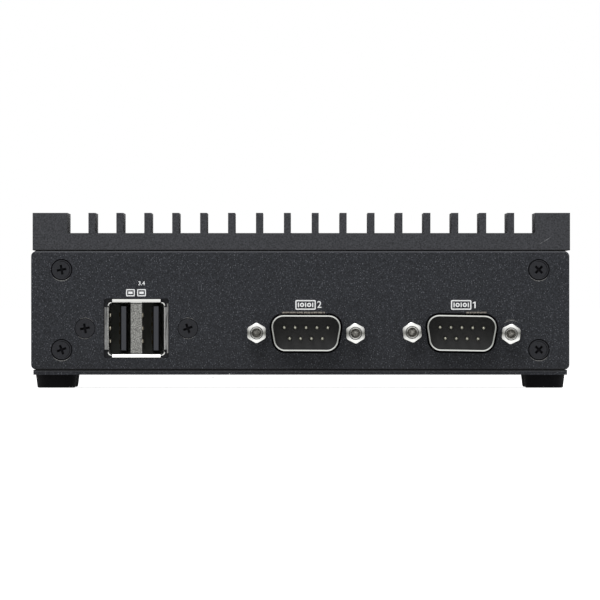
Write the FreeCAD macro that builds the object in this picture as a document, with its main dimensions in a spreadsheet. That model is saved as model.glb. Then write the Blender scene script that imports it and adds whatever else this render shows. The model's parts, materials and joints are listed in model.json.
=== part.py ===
import FreeCAD, Part

import math
import os
import re

import Sketcher
from FreeCAD import Placement, Rotation, Vector

# A fanless industrial computer: a folded chassis closed by two panels, a bottom cover and an extruded
# heat sink, with its connectors, board and modules. Millimetres. +Z is up, the double USB port and the
# two serial ports face -Y, and the origin lies under the middle of the whole object, at the feet.

SIZES = {
    # case
    "case_width": 136.0,
    "case_depth": 100.0,
    "panel_height": 29.85,
    "panel_thickness": 1.2,
    "panel_corner": 1.25,
    "sheet_thickness": 1.2,
    "fold_radius": 1.6,
    "side_recess": 0.15,
    "top_gap": 0.28,
    "cover_gap": 0.14,
    "cover_recess": 0.55,
    "cover_corner": 1.0,
    "flange_width": 9.8,
    "flange_relief": 1.5,
    "lip_width": 10.0,
    "sill_nut_gap": 0.5,
    "window_margin": 4.0,
    # feet
    "foot_height": 3.29,
    "foot_top_radius": 5.2,
    "foot_bottom_radius": 4.95,
    "foot_from_side": 6.35,
    "foot_inset": 8.0,
    # heat sink
    "sink_side_recess": 0.1,
    "sink_shift": 0.27,
    "sink_end_recess": 0.2,
    "sink_base": 4.35,
    "fin_height": 5.1,
    "fin_thickness": 1.75,
    "fin_count": 16,
    "end_block_width": 8.8,
    "sink_hole_depth": 3.6,
    # small screws, M2.5, countersunk, with heads as high as the panels are thick
    "small_radius": 1.25,
    "small_length": 5.0,
    "cross_reach": 1.25,
    "cross_width": 0.6,
    "cross_depth": 0.8,
    # larger screws, M3, pan head
    "large_radius": 1.5,
    "large_head_radius": 2.75,
    "large_head_height": 2.0,
    "thread_clearance": 0.05,
    "hole_clearance": 0.16,
    "panel_screw_from_side": 7.7,
    "panel_screw_below_top": 4.63,
    "panel_screw_above_bottom": 5.0,
    "cover_screw_y": 28.0,
    "cover_screw_length": 4.2,
    # plug in the left wall
    "plug_head_radius": 3.55,
    "plug_head_height": 0.42,
    "plug_dome_edge": 1.2,
    "plug_neck_radius": 3.1,
    "plug_neck_length": 2.4,
    "plug_clearance": 0.1,
    "plug_above_panel_bottom": 13.1,
    "plug_from_middle": 20.0,
    # weld nuts on the bottom cover, M4 on a 75 mm square
    "bracket_spacing": 75.0,
    "bracket_thread_radius": 2.0,
    "bracket_nut_flats": 7.0,
    "bracket_nut_height": 1.6,
    # front double USB port
    "usb_from_left": 26.6,
    "usb_above_panel_bottom": 10.4,
    "port_width": 5.32,
    "port_height": 12.65,
    "port_pitch": 8.18,
    "usb_wall": 0.3,
    "usb_corner": 0.5,
    "usb_proud": 0.25,
    "usb_depth": 17.5,
    "lip_reach_side": 1.0,
    "lip_reach_top": 0.75,
    "lip_end": 0.1,
    "lip_length_side": 10.7,
    "lip_length_top": 12.2,
    "usb_cut_clearance": 0.15,
    "usb_cut_corner": 0.6,
    "divider_recess": 0.3,
    "tongue_thickness": 1.84,
    "tongue_height": 11.1,
    "tongue_offset": 0.9,
    "tongue_length": 11.0,
    "tongue_recess": 0.6,
    "tongue_chamfer": 0.38,
    "usb_fit": 0.04,
    "usb_plate": 1.5,
    "contact_width": 1.0,
    "contact_thickness": 0.2,
    "contact_length": 8.0,
    "contact_inner": 1.0,
    "contact_outer": 3.5,
    "bracket_width": 32.0,
    "bracket_height": 16.0,
    "bracket_screw_spacing": 26.0,
    "usb_back_depth": 4.0,
    # serial ports
    "com2_x": 1.47,
    "com1_from_right": 27.03,
    "com_above_panel_bottom": 9.18,
    "dee_width": 17.7,
    "dee_height": 9.2,
    "dee_corner": 2.6,
    "dee_lean": 10.0,
    "dee_wall": 0.4,
    "dee_length": 6.0,
    "dee_clearance": 0.35,
    "flange_plate_width": 30.8,
    "flange_plate_height": 12.5,
    "flange_plate_thickness": 0.8,
    "insulator_fit": 0.03,
    "insulator_front": 0.9,
    "back_block_width": 19.3,
    "back_block_height": 10.7,
    "back_block_depth": 7.5,
    "pin_radius": 0.5,
    "pin_pitch": 2.77,
    "pin_row_pitch": 2.84,
    "pin_recess": 0.5,
    "lock_spacing": 24.99,
    "lock_flats": 4.75,
    "lock_proud": 4.8,
    "lock_thread_radius": 1.42,
    "lock_face_radius": 2.3,
    "lock_bore_depth": 4.4,
    "lock_nut_height": 2.0,
    # leads inside
    "lead_thickness": 1.0,
    "serial_lead_width": 10.0,
    "usb_lead_width": 6.0,
    "lead_rise": 7.0,
    "socket_margin": 1.75,
    "socket_depth": 6.5,
    "socket_height": 7.0,
    "socket_gap": 1.95,
    # main board
    "board_width": 100.0,
    "board_from_front": 26.2,
    "board_thickness": 1.6,
    "screw_end_gap": 0.5,
    "board_room": 7.0,
    "board_edge_gap": 0.6,
    "hole_inset": 4.0,
    "rear_hole_inset": 26.0,
    "hole_spacing": 26.0,
    "standoff_flats": 5.0,
    "standoff_thread_depth": 6.0,
    "board_screw_length": 5.5,
    # board top
    "chip_width": 25.0,
    "chip_depth": 27.0,
    "chip_height": 1.1,
    "chip_from_rear": 37.8,
    "pad_thickness": 0.5,
    "block_size": 34.0,
    "coin_radius": 10.0,
    "coin_height": 3.2,
    "coin_x": -32.0,
    "coin_gap": 1.15,
    "holder_wall": 1.4,
    "holder_floor": 1.2,
    "holder_fit": 0.1,
    "holder_lip": 1.0,
    "inductor_size": 7.0,
    "inductor_height": 4.0,
    "inductor_pitch": 8.5,
    "power_x": 33.5,
    "inductors_from_rear": 38.2,
    "capacitor_radius": 3.15,
    "capacitor_height": 7.0,
    "capacitor_pitch": 7.5,
    "capacitor_x": 31.0,
    "capacitors_from_rear": 23.7,
    # board underside
    "module_thickness": 1.0,
    "module_drop": 2.8,
    "module_chip_height": 1.0,
    "memory_width": 67.6,
    "memory_depth": 30.0,
    "module_gap": 3.0,
    "memory_chip_width": 10.0,
    "memory_chip_depth": 12.0,
    "memory_chip_pitch": 15.5,
    "memory_chip_from_edge": 8.0,
    "storage_width": 60.0,
    "storage_depth": 22.0,
    "storage_x": 22.0,
    "storage_from_edge": 2.0,
    "storage_chip_width": 14.0,
    "storage_chip_depth": 18.0,
    "storage_chip_pitch": 22.0,
    "slot_depth": 2.0,
    "slot_fit": 0.05,
    "edge_socket_margin": 1.2,
    "edge_socket_depth": 6.5,
    "edge_socket_height": 5.0,
    # rear connectors, from the left seen from the front
    "rear_proud": 0.3,
    "rear_cut_clearance": 0.25,
    "rear_usb_x": -40.5,
    "rear_usb_width": 13.2,
    "rear_usb_height": 15.6,
    "rear_usb_depth": 17.8,
    "rear_port_width": 12.5,
    "rear_port_height": 5.12,
    "rear_port_low": 4.3,
    "rear_port_high": 11.7,
    "rear_tongue_width": 11.1,
    "rear_tongue_thickness": 1.84,
    "rear_tongue_offset": 0.7,
    "lan1_x": -21.5,
    "lan2_x": -1.0,
    "jack_width": 16.0,
    "jack_height": 13.4,
    "jack_depth": 21.0,
    "jack_wall": 0.3,
    "jack_window_margin": 0.9,
    "jack_cavity_width": 11.9,
    "jack_cavity_height": 7.0,
    "jack_cavity_floor": 4.2,
    "jack_cavity_depth": 13.0,
    "jack_latch_width": 6.2,
    "jack_latch_height": 1.6,
    "jack_wire_pitch": 1.02,
    "jack_wire_width": 0.45,
    "jack_wire_thickness": 0.4,
    "jack_wire_drop": 1.8,
    "jack_wire_front": 3.0,
    "jack_wire_back": 10.0,
    "video_x": 19.0,
    "video_width": 15.0,
    "video_height": 6.2,
    "video_depth": 11.5,
    "video_wall": 0.4,
    "video_chamfer": 1.7,
    "video_tongue_width": 10.6,
    "video_tongue_thickness": 1.0,
    "video_tongue_length": 5.5,
    "video_block_depth": 3.0,
    "inlet_x": 33.5,
    "inlet_width": 9.0,
    "inlet_height": 11.0,
    "inlet_depth": 14.2,
    "inlet_bore_radius": 3.15,
    "inlet_bore_depth": 9.5,
    "inlet_pin_radius": 1.0,
    "inlet_pin_length": 8.6,
    "inlet_above_board": 6.0,
    # power button
    "button_x": 45.0,
    "button_above_board": 7.5,
    "button_radius": 3.0,
    "button_proud": 0.8,
    "button_chamfer": 0.3,
    "button_clearance": 0.25,
    "button_travel": 0.8,
    "button_flange_width": 7.8,
    "button_flange_height": 0.8,
    "button_rest_gap": 0.1,
    "button_stop_gap": 0.2,
    "button_stem_width": 2.4,
    "button_stem_entry": 1.0,
    "switch_width": 6.0,
    "switch_depth": 4.5,
    "switch_height": 10.5,
    "switch_bore_clearance": 0.3,
}

# Lengths that follow from the driving sizes.
PLACES = {
    "front_y": "(lock_proud - button_proud - case_depth) / 2",
    "rear_y": "front_y + case_depth",
    "middle_y": "front_y + case_depth / 2",
    "panel_back_y": "front_y + panel_thickness",
    "rear_inner_y": "rear_y - panel_thickness",
    "cover_top_z": "foot_height + panel_thickness",
    "panel_bottom_z": "cover_top_z + cover_gap",
    "panel_top_z": "panel_bottom_z + panel_height",
    "chassis_top_z": "panel_top_z + top_gap",
    "ceiling_z": "chassis_top_z - sheet_thickness",
    "fin_root_z": "chassis_top_z + sink_base",
    "sink_top_z": "fin_root_z + fin_height",
    "wall_x": "case_width / 2 - side_recess",
    "sill_from_middle": "bracket_spacing / 2 + bracket_nut_flats / sqrt(3) + sill_nut_gap",
    "sink_width": "case_width - 2 * sink_side_recess",
    "foot_x": "case_width / 2 - foot_from_side",
    "fin_pitch": "(sink_width - 2 * end_block_width + fin_thickness) / (fin_count + 1)",
    "panel_screw_x": "case_width / 2 - panel_screw_from_side",
    "screw_low_z": "panel_bottom_z + panel_screw_above_bottom",
    "screw_high_z": "panel_top_z - panel_screw_below_top",
    "small_hole": "small_radius + hole_clearance",
    "small_thread": "small_radius + thread_clearance",
    "large_hole": "large_radius + hole_clearance",
    "large_thread": "large_radius + thread_clearance",
    "lip_middle_x": "wall_x - lip_width / 2",
    "usb_x": "usb_from_left - case_width / 2",
    "usb_z": "panel_bottom_z + usb_above_panel_bottom",
    "mouth_y": "front_y - usb_proud",
    "usb_half_width": "(port_pitch + port_width) / 2 + usb_wall",
    "usb_half_height": "port_height / 2 + usb_wall",
    "lip_bend_side": "lip_reach_side - lip_end",
    "lip_bend_top": "lip_reach_top - lip_end",
    "tube_y": "mouth_y + lip_bend_side + usb_wall",
    "usb_back_y": "mouth_y + usb_depth",
    "com1_x": "case_width / 2 - com1_from_right",
    "com_z": "panel_bottom_z + com_above_panel_bottom",
    "lock_hole": "lock_thread_radius + hole_clearance",
    "board_bottom_z": "cover_top_z + board_room",
    "board_top_z": "board_bottom_z + board_thickness",
    "board_rear_y": "rear_inner_y - board_edge_gap",
    "board_front_y": "front_y + board_from_front",
    "chip_y": "board_rear_y - chip_from_rear",
    "chip_top_z": "board_top_z + chip_height",
    "block_bottom_z": "chip_top_z + pad_thickness",
    "window_half": "block_size / 2 + window_margin",
    "socket_y": "chip_y - block_size / 2 - socket_gap - socket_depth / 2",
    "coin_y": "socket_y + socket_depth / 2 + coin_gap + coin_radius + holder_wall",
    "inductor_y": "board_rear_y - inductors_from_rear",
    "capacitor_y": "board_rear_y - capacitors_from_rear",
    "storage_rear_y": "board_front_y + storage_from_edge + storage_depth",
    "memory_rear_y": "storage_rear_y + module_gap + memory_depth",
    "socket_top_z": "board_top_z + socket_height",
    "lead_top_z": "socket_top_z + lead_rise",
    "rear_face_y": "rear_y + rear_proud",
    "button_z": "board_top_z + button_above_board",
    "button_flange_y": "rear_inner_y - button_rest_gap - button_flange_height",
    "switch_face_y": "button_flange_y - button_travel - button_stop_gap",
}

doc = FreeCAD.newDocument("FanlessComputer")
sheet = doc.addObject("Spreadsheet::Sheet", "Sizes")
for row, (name, number) in enumerate(SIZES.items(), 1):
    sheet.set(f"A{row}", name)
    sheet.set(f"B{row}", str(number))
    sheet.setAlias(f"B{row}", name)
doc.recompute()

nodes = []


def tied(text):
    """Turns the names of sizes and places in an expression into references to the sheet's cells."""
    def swap(found):
        word = found.group()
        if word in PLACES:
            return "(" + tied(PLACES[word]) + ")"
        return "Sizes." + word if word in SIZES else word
    return re.sub(r"[a-z_][a-z_0-9]*", swap, text)


def value(text):
    return float(sheet.evalExpression(tied(text)))


# Outlines: each is a closed list of corners (across, up) or (across, up, radius), or one circle.

def circle(across, up, radius):
    return (across, up, radius)


def rectangle(left, right, low, high, *radius):
    return [(left, low, *radius), (right, low, *radius), (right, high, *radius), (left, high, *radius)]


def octagon(across, up, radius, grown="1"):
    """An eight-sided thread or pin, with its corners on a circle."""
    near, far = f"({radius}) * sin(22.5) * {grown}", f"({radius}) * cos(22.5) * {grown}"
    corners = [(far, near), (near, far), (f"-{near}", far), (f"-{far}", near),
               (f"-{far}", f"-{near}"), (f"-{near}", f"-{far}"), (near, f"-{far}"), (far, f"-{near}")]
    return [(f"({across}) + {right}", f"({up}) + {above}") for right, above in corners]


def threaded_hole(across, up, radius):
    """An eight-sided hole whose flats lie on a circle, so that a thread fits in at any turn."""
    return octagon(across, up, radius, "1 / cos(22.5)")


def hexagon(flats):
    side, tip = f"({flats}) / 2", f"({flats}) / sqrt(3)"
    return [("0", tip), (f"-{side}", f"{tip} / 2"), (f"-{side}", f"-{tip} / 2"),
            ("0", f"-{tip}"), (side, f"-{tip} / 2"), (side, f"{tip} / 2")]


def cross(reach, half_width):
    return [(f"-{reach}", f"-{half_width}"), (f"-{half_width}", f"-{half_width}"),
            (f"-{half_width}", f"-{reach}"), (half_width, f"-{reach}"),
            (half_width, f"-{half_width}"), (reach, f"-{half_width}"),
            (reach, half_width), (half_width, half_width),
            (half_width, reach), (f"-{half_width}", reach),
            (f"-{half_width}", half_width), (f"-{reach}", half_width)]


def dee(grow, middle_x="0", middle_z="0"):
    """The outline of a 9-pin connector, wide side up, grown by a clearance or shrunk by a wall."""
    top = f"(dee_width / 2 + ({grow}) * (1 / cos(dee_lean) + tan(dee_lean)))"
    foot = f"(dee_width / 2 - dee_height * tan(dee_lean) + ({grow}) * (1 / cos(dee_lean) - tan(dee_lean)))"
    half, radius = f"(dee_height / 2 + ({grow}))", f"dee_corner + ({grow})"
    return [(f"{middle_x} - {foot}", f"{middle_z} - {half}", radius),
            (f"{middle_x} + {foot}", f"{middle_z} - {half}", radius),
            (f"{middle_x} + {top}", f"{middle_z} + {half}", radius),
            (f"{middle_x} - {top}", f"{middle_z} + {half}", radius)]


def fix_point(sketch, geometry, end, across, up):
    for kind, text in (("DistanceX", across), ("DistanceY", up)):
        number = sketch.addConstraint(Sketcher.Constraint(kind, -1, 1, geometry, end, value(text)))
        sketch.setExpression(f"Constraints[{number}]", tied(text))


def fix_radius(sketch, geometry, radius):
    number = sketch.addConstraint(Sketcher.Constraint("Radius", geometry, value(radius)))
    sketch.setExpression(f"Constraints[{number}]", tied(radius))


def draw_circle(sketch, across, up, radius):
    middle = Vector(value(across), value(up), 0)
    ring = sketch.addGeometry(Part.Circle(middle, Vector(0, 0, 1), value(radius)))
    fix_point(sketch, ring, 3, across, up)
    fix_radius(sketch, ring, radius)


def draw_outline(sketch, corners):
    """Straight edges that meet at the corners, with a tangent arc where a corner has a radius."""
    marks = [Vector(value(corner[0]), value(corner[1]), 0) for corner in corners]
    count = len(marks)
    starts, ends, middles = [], [], []
    for index, corner in enumerate(corners):
        back = (marks[index - 1] - marks[index]).normalize()
        ahead = (marks[(index + 1) % count] - marks[index]).normalize()
        radius = value(corner[2]) if len(corner) > 2 else 0
        half_angle = back.getAngle(ahead) / 2
        starts.append(marks[index] + back * (radius / math.tan(half_angle)))
        ends.append(marks[index] + ahead * (radius / math.tan(half_angle)))
        inward = (back + ahead).normalize() if radius else Vector()
        middles.append(marks[index] + inward * (radius / math.sin(half_angle) - radius))
    lines = [sketch.addGeometry(Part.LineSegment(ends[index], starts[(index + 1) % count]))
             for index in range(count)]
    for index, corner in enumerate(corners):
        before, after = lines[index - 1], lines[index]
        if len(corner) == 2:
            sketch.addConstraint(Sketcher.Constraint("Coincident", before, 2, after, 1))
            fix_point(sketch, after, 1, corner[0], corner[1])
            continue
        mark = sketch.addGeometry(Part.Point(marks[index]), True)
        fix_point(sketch, mark, 1, corner[0], corner[1])
        sketch.addConstraint(Sketcher.Constraint("PointOnObject", mark, 1, before))
        sketch.addConstraint(Sketcher.Constraint("PointOnObject", mark, 1, after))
        arc = sketch.addGeometry(Part.Arc(starts[index], middles[index], ends[index]))
        first = 1 if (sketch.getPoint(arc, 1) - starts[index]).Length < 1e-6 else 2
        sketch.addConstraint(Sketcher.Constraint("Tangent", before, 2, arc, first))
        sketch.addConstraint(Sketcher.Constraint("Tangent", arc, 3 - first, after, 1))
        fix_radius(sketch, arc, corner[2])


def sketch_on(body, plane, height, outlines):
    sketch = body.newObject("Sketcher::SketchObject", body.Label + "_sketch")
    base = next(item for item in body.Origin.OriginFeatures if item.Role == plane + "_Plane")
    sketch.AttachmentSupport = [(base, "")]
    sketch.MapMode = "FlatFace"
    # the XZ plane looks along -Y, so its heights count backwards
    sketch.setExpression("AttachmentOffset.Base.z", tied(f"-({height})" if plane == "XZ" else height))
    for outline in outlines:
        if isinstance(outline, tuple):
            draw_circle(sketch, *outline)
        else:
            draw_outline(sketch, outline)
    return sketch


def new_body(label):
    body = doc.addObject("PartDesign::Body", label)
    body.Label = label
    return body


def add(body, plane, low, high, *outlines):
    """Pads outlines from low to high along the plane's normal, measured along the row's own axis."""
    pad = body.newObject("PartDesign::Pad", body.Label + "_pad")
    pad.Profile = sketch_on(body, plane, high if plane == "XZ" else low, outlines)
    pad.setExpression("Length", tied(f"({high}) - ({low})"))
    body.Tip = pad
    return pad


def take(body, plane, low, high, *outlines):
    """Cuts outlines away from low to high."""
    pocket = body.newObject("PartDesign::Pocket", body.Label + "_pocket")
    pocket.Profile = sketch_on(body, plane, low if plane == "XZ" else high, outlines)
    pocket.setExpression("Length", tied(f"({high}) - ({low})"))
    body.Tip = pocket
    return pocket


def turn(body, outline, kind="Revolution"):
    """Turns an outline of (radius, height) corners about the body's own Z axis."""
    feature = body.newObject("PartDesign::" + kind, body.Label + "_turned")
    feature.Profile = sketch_on(body, "XZ", "0", [outline])
    feature.ReferenceAxis = (feature.Profile[0], ["V_Axis"])
    body.Tip = feature
    return feature


def repeat(body, feature, axis, length, count):
    pattern = body.newObject("PartDesign::LinearPattern", body.Label + "_row")
    pattern.Originals = [feature]
    base = next(item for item in body.Origin.OriginFeatures if item.Role == axis + "_Axis")
    pattern.Direction = (base, [""])
    pattern.setExpression("Length", tied(length))
    pattern.setExpression("Occurrences", tied(count))
    body.Tip = pattern
    return pattern


DIRECTIONS = {"up": Vector(0, 0, 1), "down": Vector(0, 0, -1), "front": Vector(0, -1, 0),
              "rear": Vector(0, 1, 0), "left": Vector(-1, 0, 0)}


def place(body, x, y, z, toward="up", twist=0.0):
    """Puts the body's own origin at a point, with its own Z axis along a direction."""
    swing = Rotation(Vector(0, 0, 1), DIRECTIONS[toward])
    body.Placement = Placement(Vector(), swing.multiply(Rotation(Vector(0, 0, 1), twist)))
    for axis, text in zip("xyz", (x, y, z)):
        body.setExpression(f"Placement.Base.{axis}", tied(text))
    return body


def node(body):
    nodes.append(body)
    return body


def group(label, members):
    """Separate solids that share one node."""
    bundle = doc.addObject("Part::Compound", label)
    bundle.Label = label
    bundle.Links = members
    return node(bundle)


# Fasteners. Their own Z axis points out of the head. The origin of a flat screw is the middle of its
# head's face, and that of a pan-head screw is the middle of the head's seat.

def flat_screw(label, length):
    screw = new_body(label)
    turn(screw, [("0", "0"), ("small_radius + panel_thickness", "0"), ("small_radius", "-panel_thickness"),
                 ("0", "-panel_thickness")])
    add(screw, "XY", f"-({length})", "-panel_thickness", octagon("0", "0", "small_radius"))
    return screw


def crossed_screw(label, length):
    screw = flat_screw(label, length)
    take(screw, "XY", "-cross_depth", "0", cross("cross_reach", "cross_width / 2"))
    return screw


def pan_screw(label, length):
    screw = new_body(label)
    add(screw, "XY", "0", "large_head_height", octagon("0", "0", "large_head_radius"))
    add(screw, "XY", f"-({length})", "0", octagon("0", "0", "large_radius"))
    return screw


def sink_for_flat_heads(body, toward, spots, surface, back):
    """Tapered holes for flat heads, through a sheet whose face looks to the front, rear or down."""
    for x, up in spots:
        cone = body.newObject("PartDesign::Groove", body.Label + "_countersink")
        plane = "XZ" if toward == "down" else "XY"
        outline = [(x, surface), (f"({x}) + small_hole + panel_thickness", surface),
                   (f"({x}) + small_hole", back), (x, back)]
        cone.Profile = sketch_on(body, plane, up, [outline])
        cone.ReferenceAxis = (cone.Profile[0], [f"Edge{len(outline)}"])
        body.Tip = cone


# Case

def corner_spots():
    levels = ("screw_low_z", "screw_high_z")
    return [(f"{side}panel_screw_x", level) for side in ("-", "") for level in levels]


def make_heatsink():
    sink = node(new_body("heatsink"))
    left, right = "(sink_shift - sink_width / 2)", "(sink_shift + sink_width / 2)"
    low_y, high_y = "front_y + sink_end_recess", "rear_y - sink_end_recess"
    add(sink, "XZ", low_y, high_y, rectangle(left, right, "chassis_top_z", "sink_top_z"))
    channel = take(sink, "XZ", low_y, high_y, rectangle(
        f"{left} + end_block_width", f"{left} + end_block_width + fin_pitch - fin_thickness",
        "fin_root_z", "sink_top_z"))
    repeat(sink, channel, "X", "fin_pitch * fin_count", "fin_count + 1")
    # blind holes for the studs of the board's standoffs
    take(sink, "XY", "chassis_top_z", "chassis_top_z + sink_hole_depth",
         *[threaded_hole(x, y, "large_thread") for x, y in standoff_spots()])


def standoff_spots():
    rows = ("board_rear_y - rear_hole_inset - hole_spacing", "board_rear_y - rear_hole_inset")
    return [(f"{side}(board_width / 2 - hole_inset)", row) for side in ("-", "") for row in rows]


def cover_screw_spots():
    return [(f"{side}lip_middle_x", f"middle_y {sign} cover_screw_y") for side in ("-", "") for sign in "-+"]


def make_chassis():
    chassis = node(new_body("chassis"))
    inner = "(wall_x - sheet_thickness)"
    lip_top = "cover_top_z + sheet_thickness"
    section = [("lip_width - wall_x", "cover_top_z"), ("lip_width - wall_x", lip_top),
               (f"-{inner}", lip_top), (f"-{inner}", "ceiling_z"), (inner, "ceiling_z"), (inner, lip_top),
               ("wall_x - lip_width", lip_top), ("wall_x - lip_width", "cover_top_z"),
               ("wall_x", "cover_top_z", "fold_radius"), ("wall_x", "chassis_top_z", "fold_radius"),
               ("-wall_x", "chassis_top_z", "fold_radius"), ("-wall_x", "cover_top_z", "fold_radius")]
    add(chassis, "XZ", "panel_back_y", "rear_inner_y", section)
    for low_y, high_y in (("panel_back_y", "middle_y - sill_from_middle"),
                          ("middle_y + sill_from_middle", "rear_inner_y")):
        add(chassis, "XY", "cover_top_z", lip_top,
            rectangle("lip_width - wall_x", "wall_x - lip_width", low_y, high_y))
    ends = (("panel_back_y", "panel_back_y + sheet_thickness"),
            ("rear_inner_y - sheet_thickness", "rear_inner_y"))
    for low_y, high_y in ends:
        tabs = [rectangle(left, right, f"{lip_top} + flange_relief", "ceiling_z - flange_relief")
                for left, right in ((f"-{inner}", "flange_width - wall_x"), ("wall_x - flange_width", inner))]
        add(chassis, "XZ", low_y, high_y, *tabs)
        take(chassis, "XZ", low_y, high_y, *[threaded_hole(x, z, "small_thread") for x, z in corner_spots()])
    window = rectangle("-window_half", "window_half", "chip_y - window_half", "chip_y + window_half")
    top_holes = [threaded_hole(x, y, "large_hole") for x, y in standoff_spots()]
    take(chassis, "XY", "ceiling_z", "chassis_top_z", window, *top_holes)
    take(chassis, "XY", "cover_top_z", lip_top,
         *[threaded_hole(x, y, "small_thread") for x, y in cover_screw_spots()])
    take(chassis, "YZ", "-wall_x", f"-{inner}",
         threaded_hole("middle_y + plug_from_middle", "panel_bottom_z + plug_above_panel_bottom",
                       "plug_neck_radius + plug_clearance"))


def panel_blank(label, low_y, high_y):
    panel = node(new_body(label))
    half = "(case_width / 2)"
    add(panel, "XZ", low_y, high_y,
        rectangle(f"-{half}", half, "panel_bottom_z", "panel_top_z", "panel_corner"))
    return panel


def usb_screw_spots():
    return [(f"usb_x {sign} bracket_screw_spacing / 2", "usb_z") for sign in "-+"]


def lock_spots():
    return [(f"{port} {sign} lock_spacing / 2", "com_z") for port in ("com2_x", "com1_x") for sign in "-+"]


def make_front_panel():
    panel = panel_blank("front_panel", "front_y", "panel_back_y")
    wide = "(usb_half_width + lip_reach_side + usb_cut_clearance)"
    tall = "(usb_half_height + lip_reach_top + usb_cut_clearance)"
    usb_window = rectangle(f"usb_x - {wide}", f"usb_x + {wide}", f"usb_z - {tall}", f"usb_z + {tall}",
                           "usb_cut_corner")
    take(panel, "XZ", "front_y", "panel_back_y", usb_window,
         dee("dee_clearance", "com2_x", "com_z"), dee("dee_clearance", "com1_x", "com_z"),
         *[threaded_hole(x, z, "lock_hole") for x, z in lock_spots()])
    sink_for_flat_heads(panel, "front", corner_spots() + usb_screw_spots(), "front_y", "panel_back_y")


REAR_CUTS = (
    ("rear_usb_x", "rear_usb_width", "rear_usb_height"),
    ("lan1_x", "jack_width", "jack_height"),
    ("lan2_x", "jack_width", "jack_height"),
    ("video_x", "video_width", "video_height"),
    ("inlet_x", "inlet_width", "inlet_height"),
)


def make_rear_panel():
    panel = panel_blank("rear_panel", "rear_inner_y", "rear_y")
    cuts = []
    for x, width, height in REAR_CUTS:
        half = f"({width} / 2 + rear_cut_clearance)"
        cuts.append(rectangle(f"{x} - {half}", f"{x} + {half}", "board_top_z - rear_cut_clearance",
                              f"board_top_z + {height} + rear_cut_clearance"))
    cuts.append(circle("button_x", "button_z", "button_radius + button_clearance"))
    take(panel, "XZ", "rear_inner_y", "rear_y", *cuts)
    sink_for_flat_heads(panel, "rear", corner_spots(), "rear_y", "rear_inner_y")


def bracket_spots():
    half = "bracket_spacing / 2"
    return [(f"{side}{half}", f"middle_y {sign} {half}") for side in ("-", "") for sign in "-+"]


def make_bottom_cover():
    cover = node(new_body("bottom_cover"))
    half = "(case_width / 2 - cover_recess)"
    add(cover, "XY", "foot_height", "cover_top_z",
        rectangle(f"-{half}", half, "front_y + cover_recess", "rear_y - cover_recess", "cover_corner"))
    take(cover, "XY", "foot_height", "cover_top_z",
         *[circle(x, y, "bracket_thread_radius") for x, y in bracket_spots()])
    sink_for_flat_heads(cover, "down", cover_screw_spots(), "foot_height", "cover_top_z")
    nuts = []
    for x, y in bracket_spots():
        nut = new_body("bracket_nut")
        add(nut, "XY", "0", "bracket_nut_height", hexagon("bracket_nut_flats"),
            threaded_hole("0", "0", "bracket_thread_radius"))
        nuts.append(place(nut, x, y, "cover_top_z"))
    group("bracket_nuts", nuts)


def make_feet():
    for end, y in (("front", "front_y + foot_inset"), ("rear", "rear_y - foot_inset")):
        for side, x in (("left", "-foot_x"), ("right", "foot_x")):
            foot = node(new_body(f"foot_{end}_{side}"))
            turn(foot, [("0", "0"), ("foot_bottom_radius", "0"), ("foot_top_radius", "foot_height"),
                        ("0", "foot_height")])
            place(foot, x, y, "0")


def make_side_plug():
    plug = node(new_body("side_hole_plug"))
    turn(plug, [("0", "plug_head_height"), ("plug_head_radius - plug_dome_edge", "plug_head_height"),
                ("plug_head_radius", "0"), ("0", "0")])
    add(plug, "XY", "-plug_neck_length", "0", octagon("0", "0", "plug_neck_radius"))
    place(plug, "-wall_x", "middle_y + plug_from_middle", "panel_bottom_z + plug_above_panel_bottom", "left")


def make_case_screws():
    twists = (20.0, 10.0, 45.0, 45.0)
    front = [place(crossed_screw("front_panel_screw", "small_length"), x, "front_y", z, "front", twist)
             for (x, z), twist in zip(corner_spots(), twists)]
    group("front_panel_screws", front)
    rear = [place(flat_screw("rear_panel_screw", "small_length"), x, "rear_y", z, "rear")
            for x, z in corner_spots()]
    group("rear_panel_screws", rear)
    below = [place(flat_screw("bottom_cover_screw", "cover_screw_length"), x, y, "foot_height", "down")
             for x, y in cover_screw_spots()]
    group("bottom_cover_screws", below)


# Front double USB port. Its ports stand upright, side by side.

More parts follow.
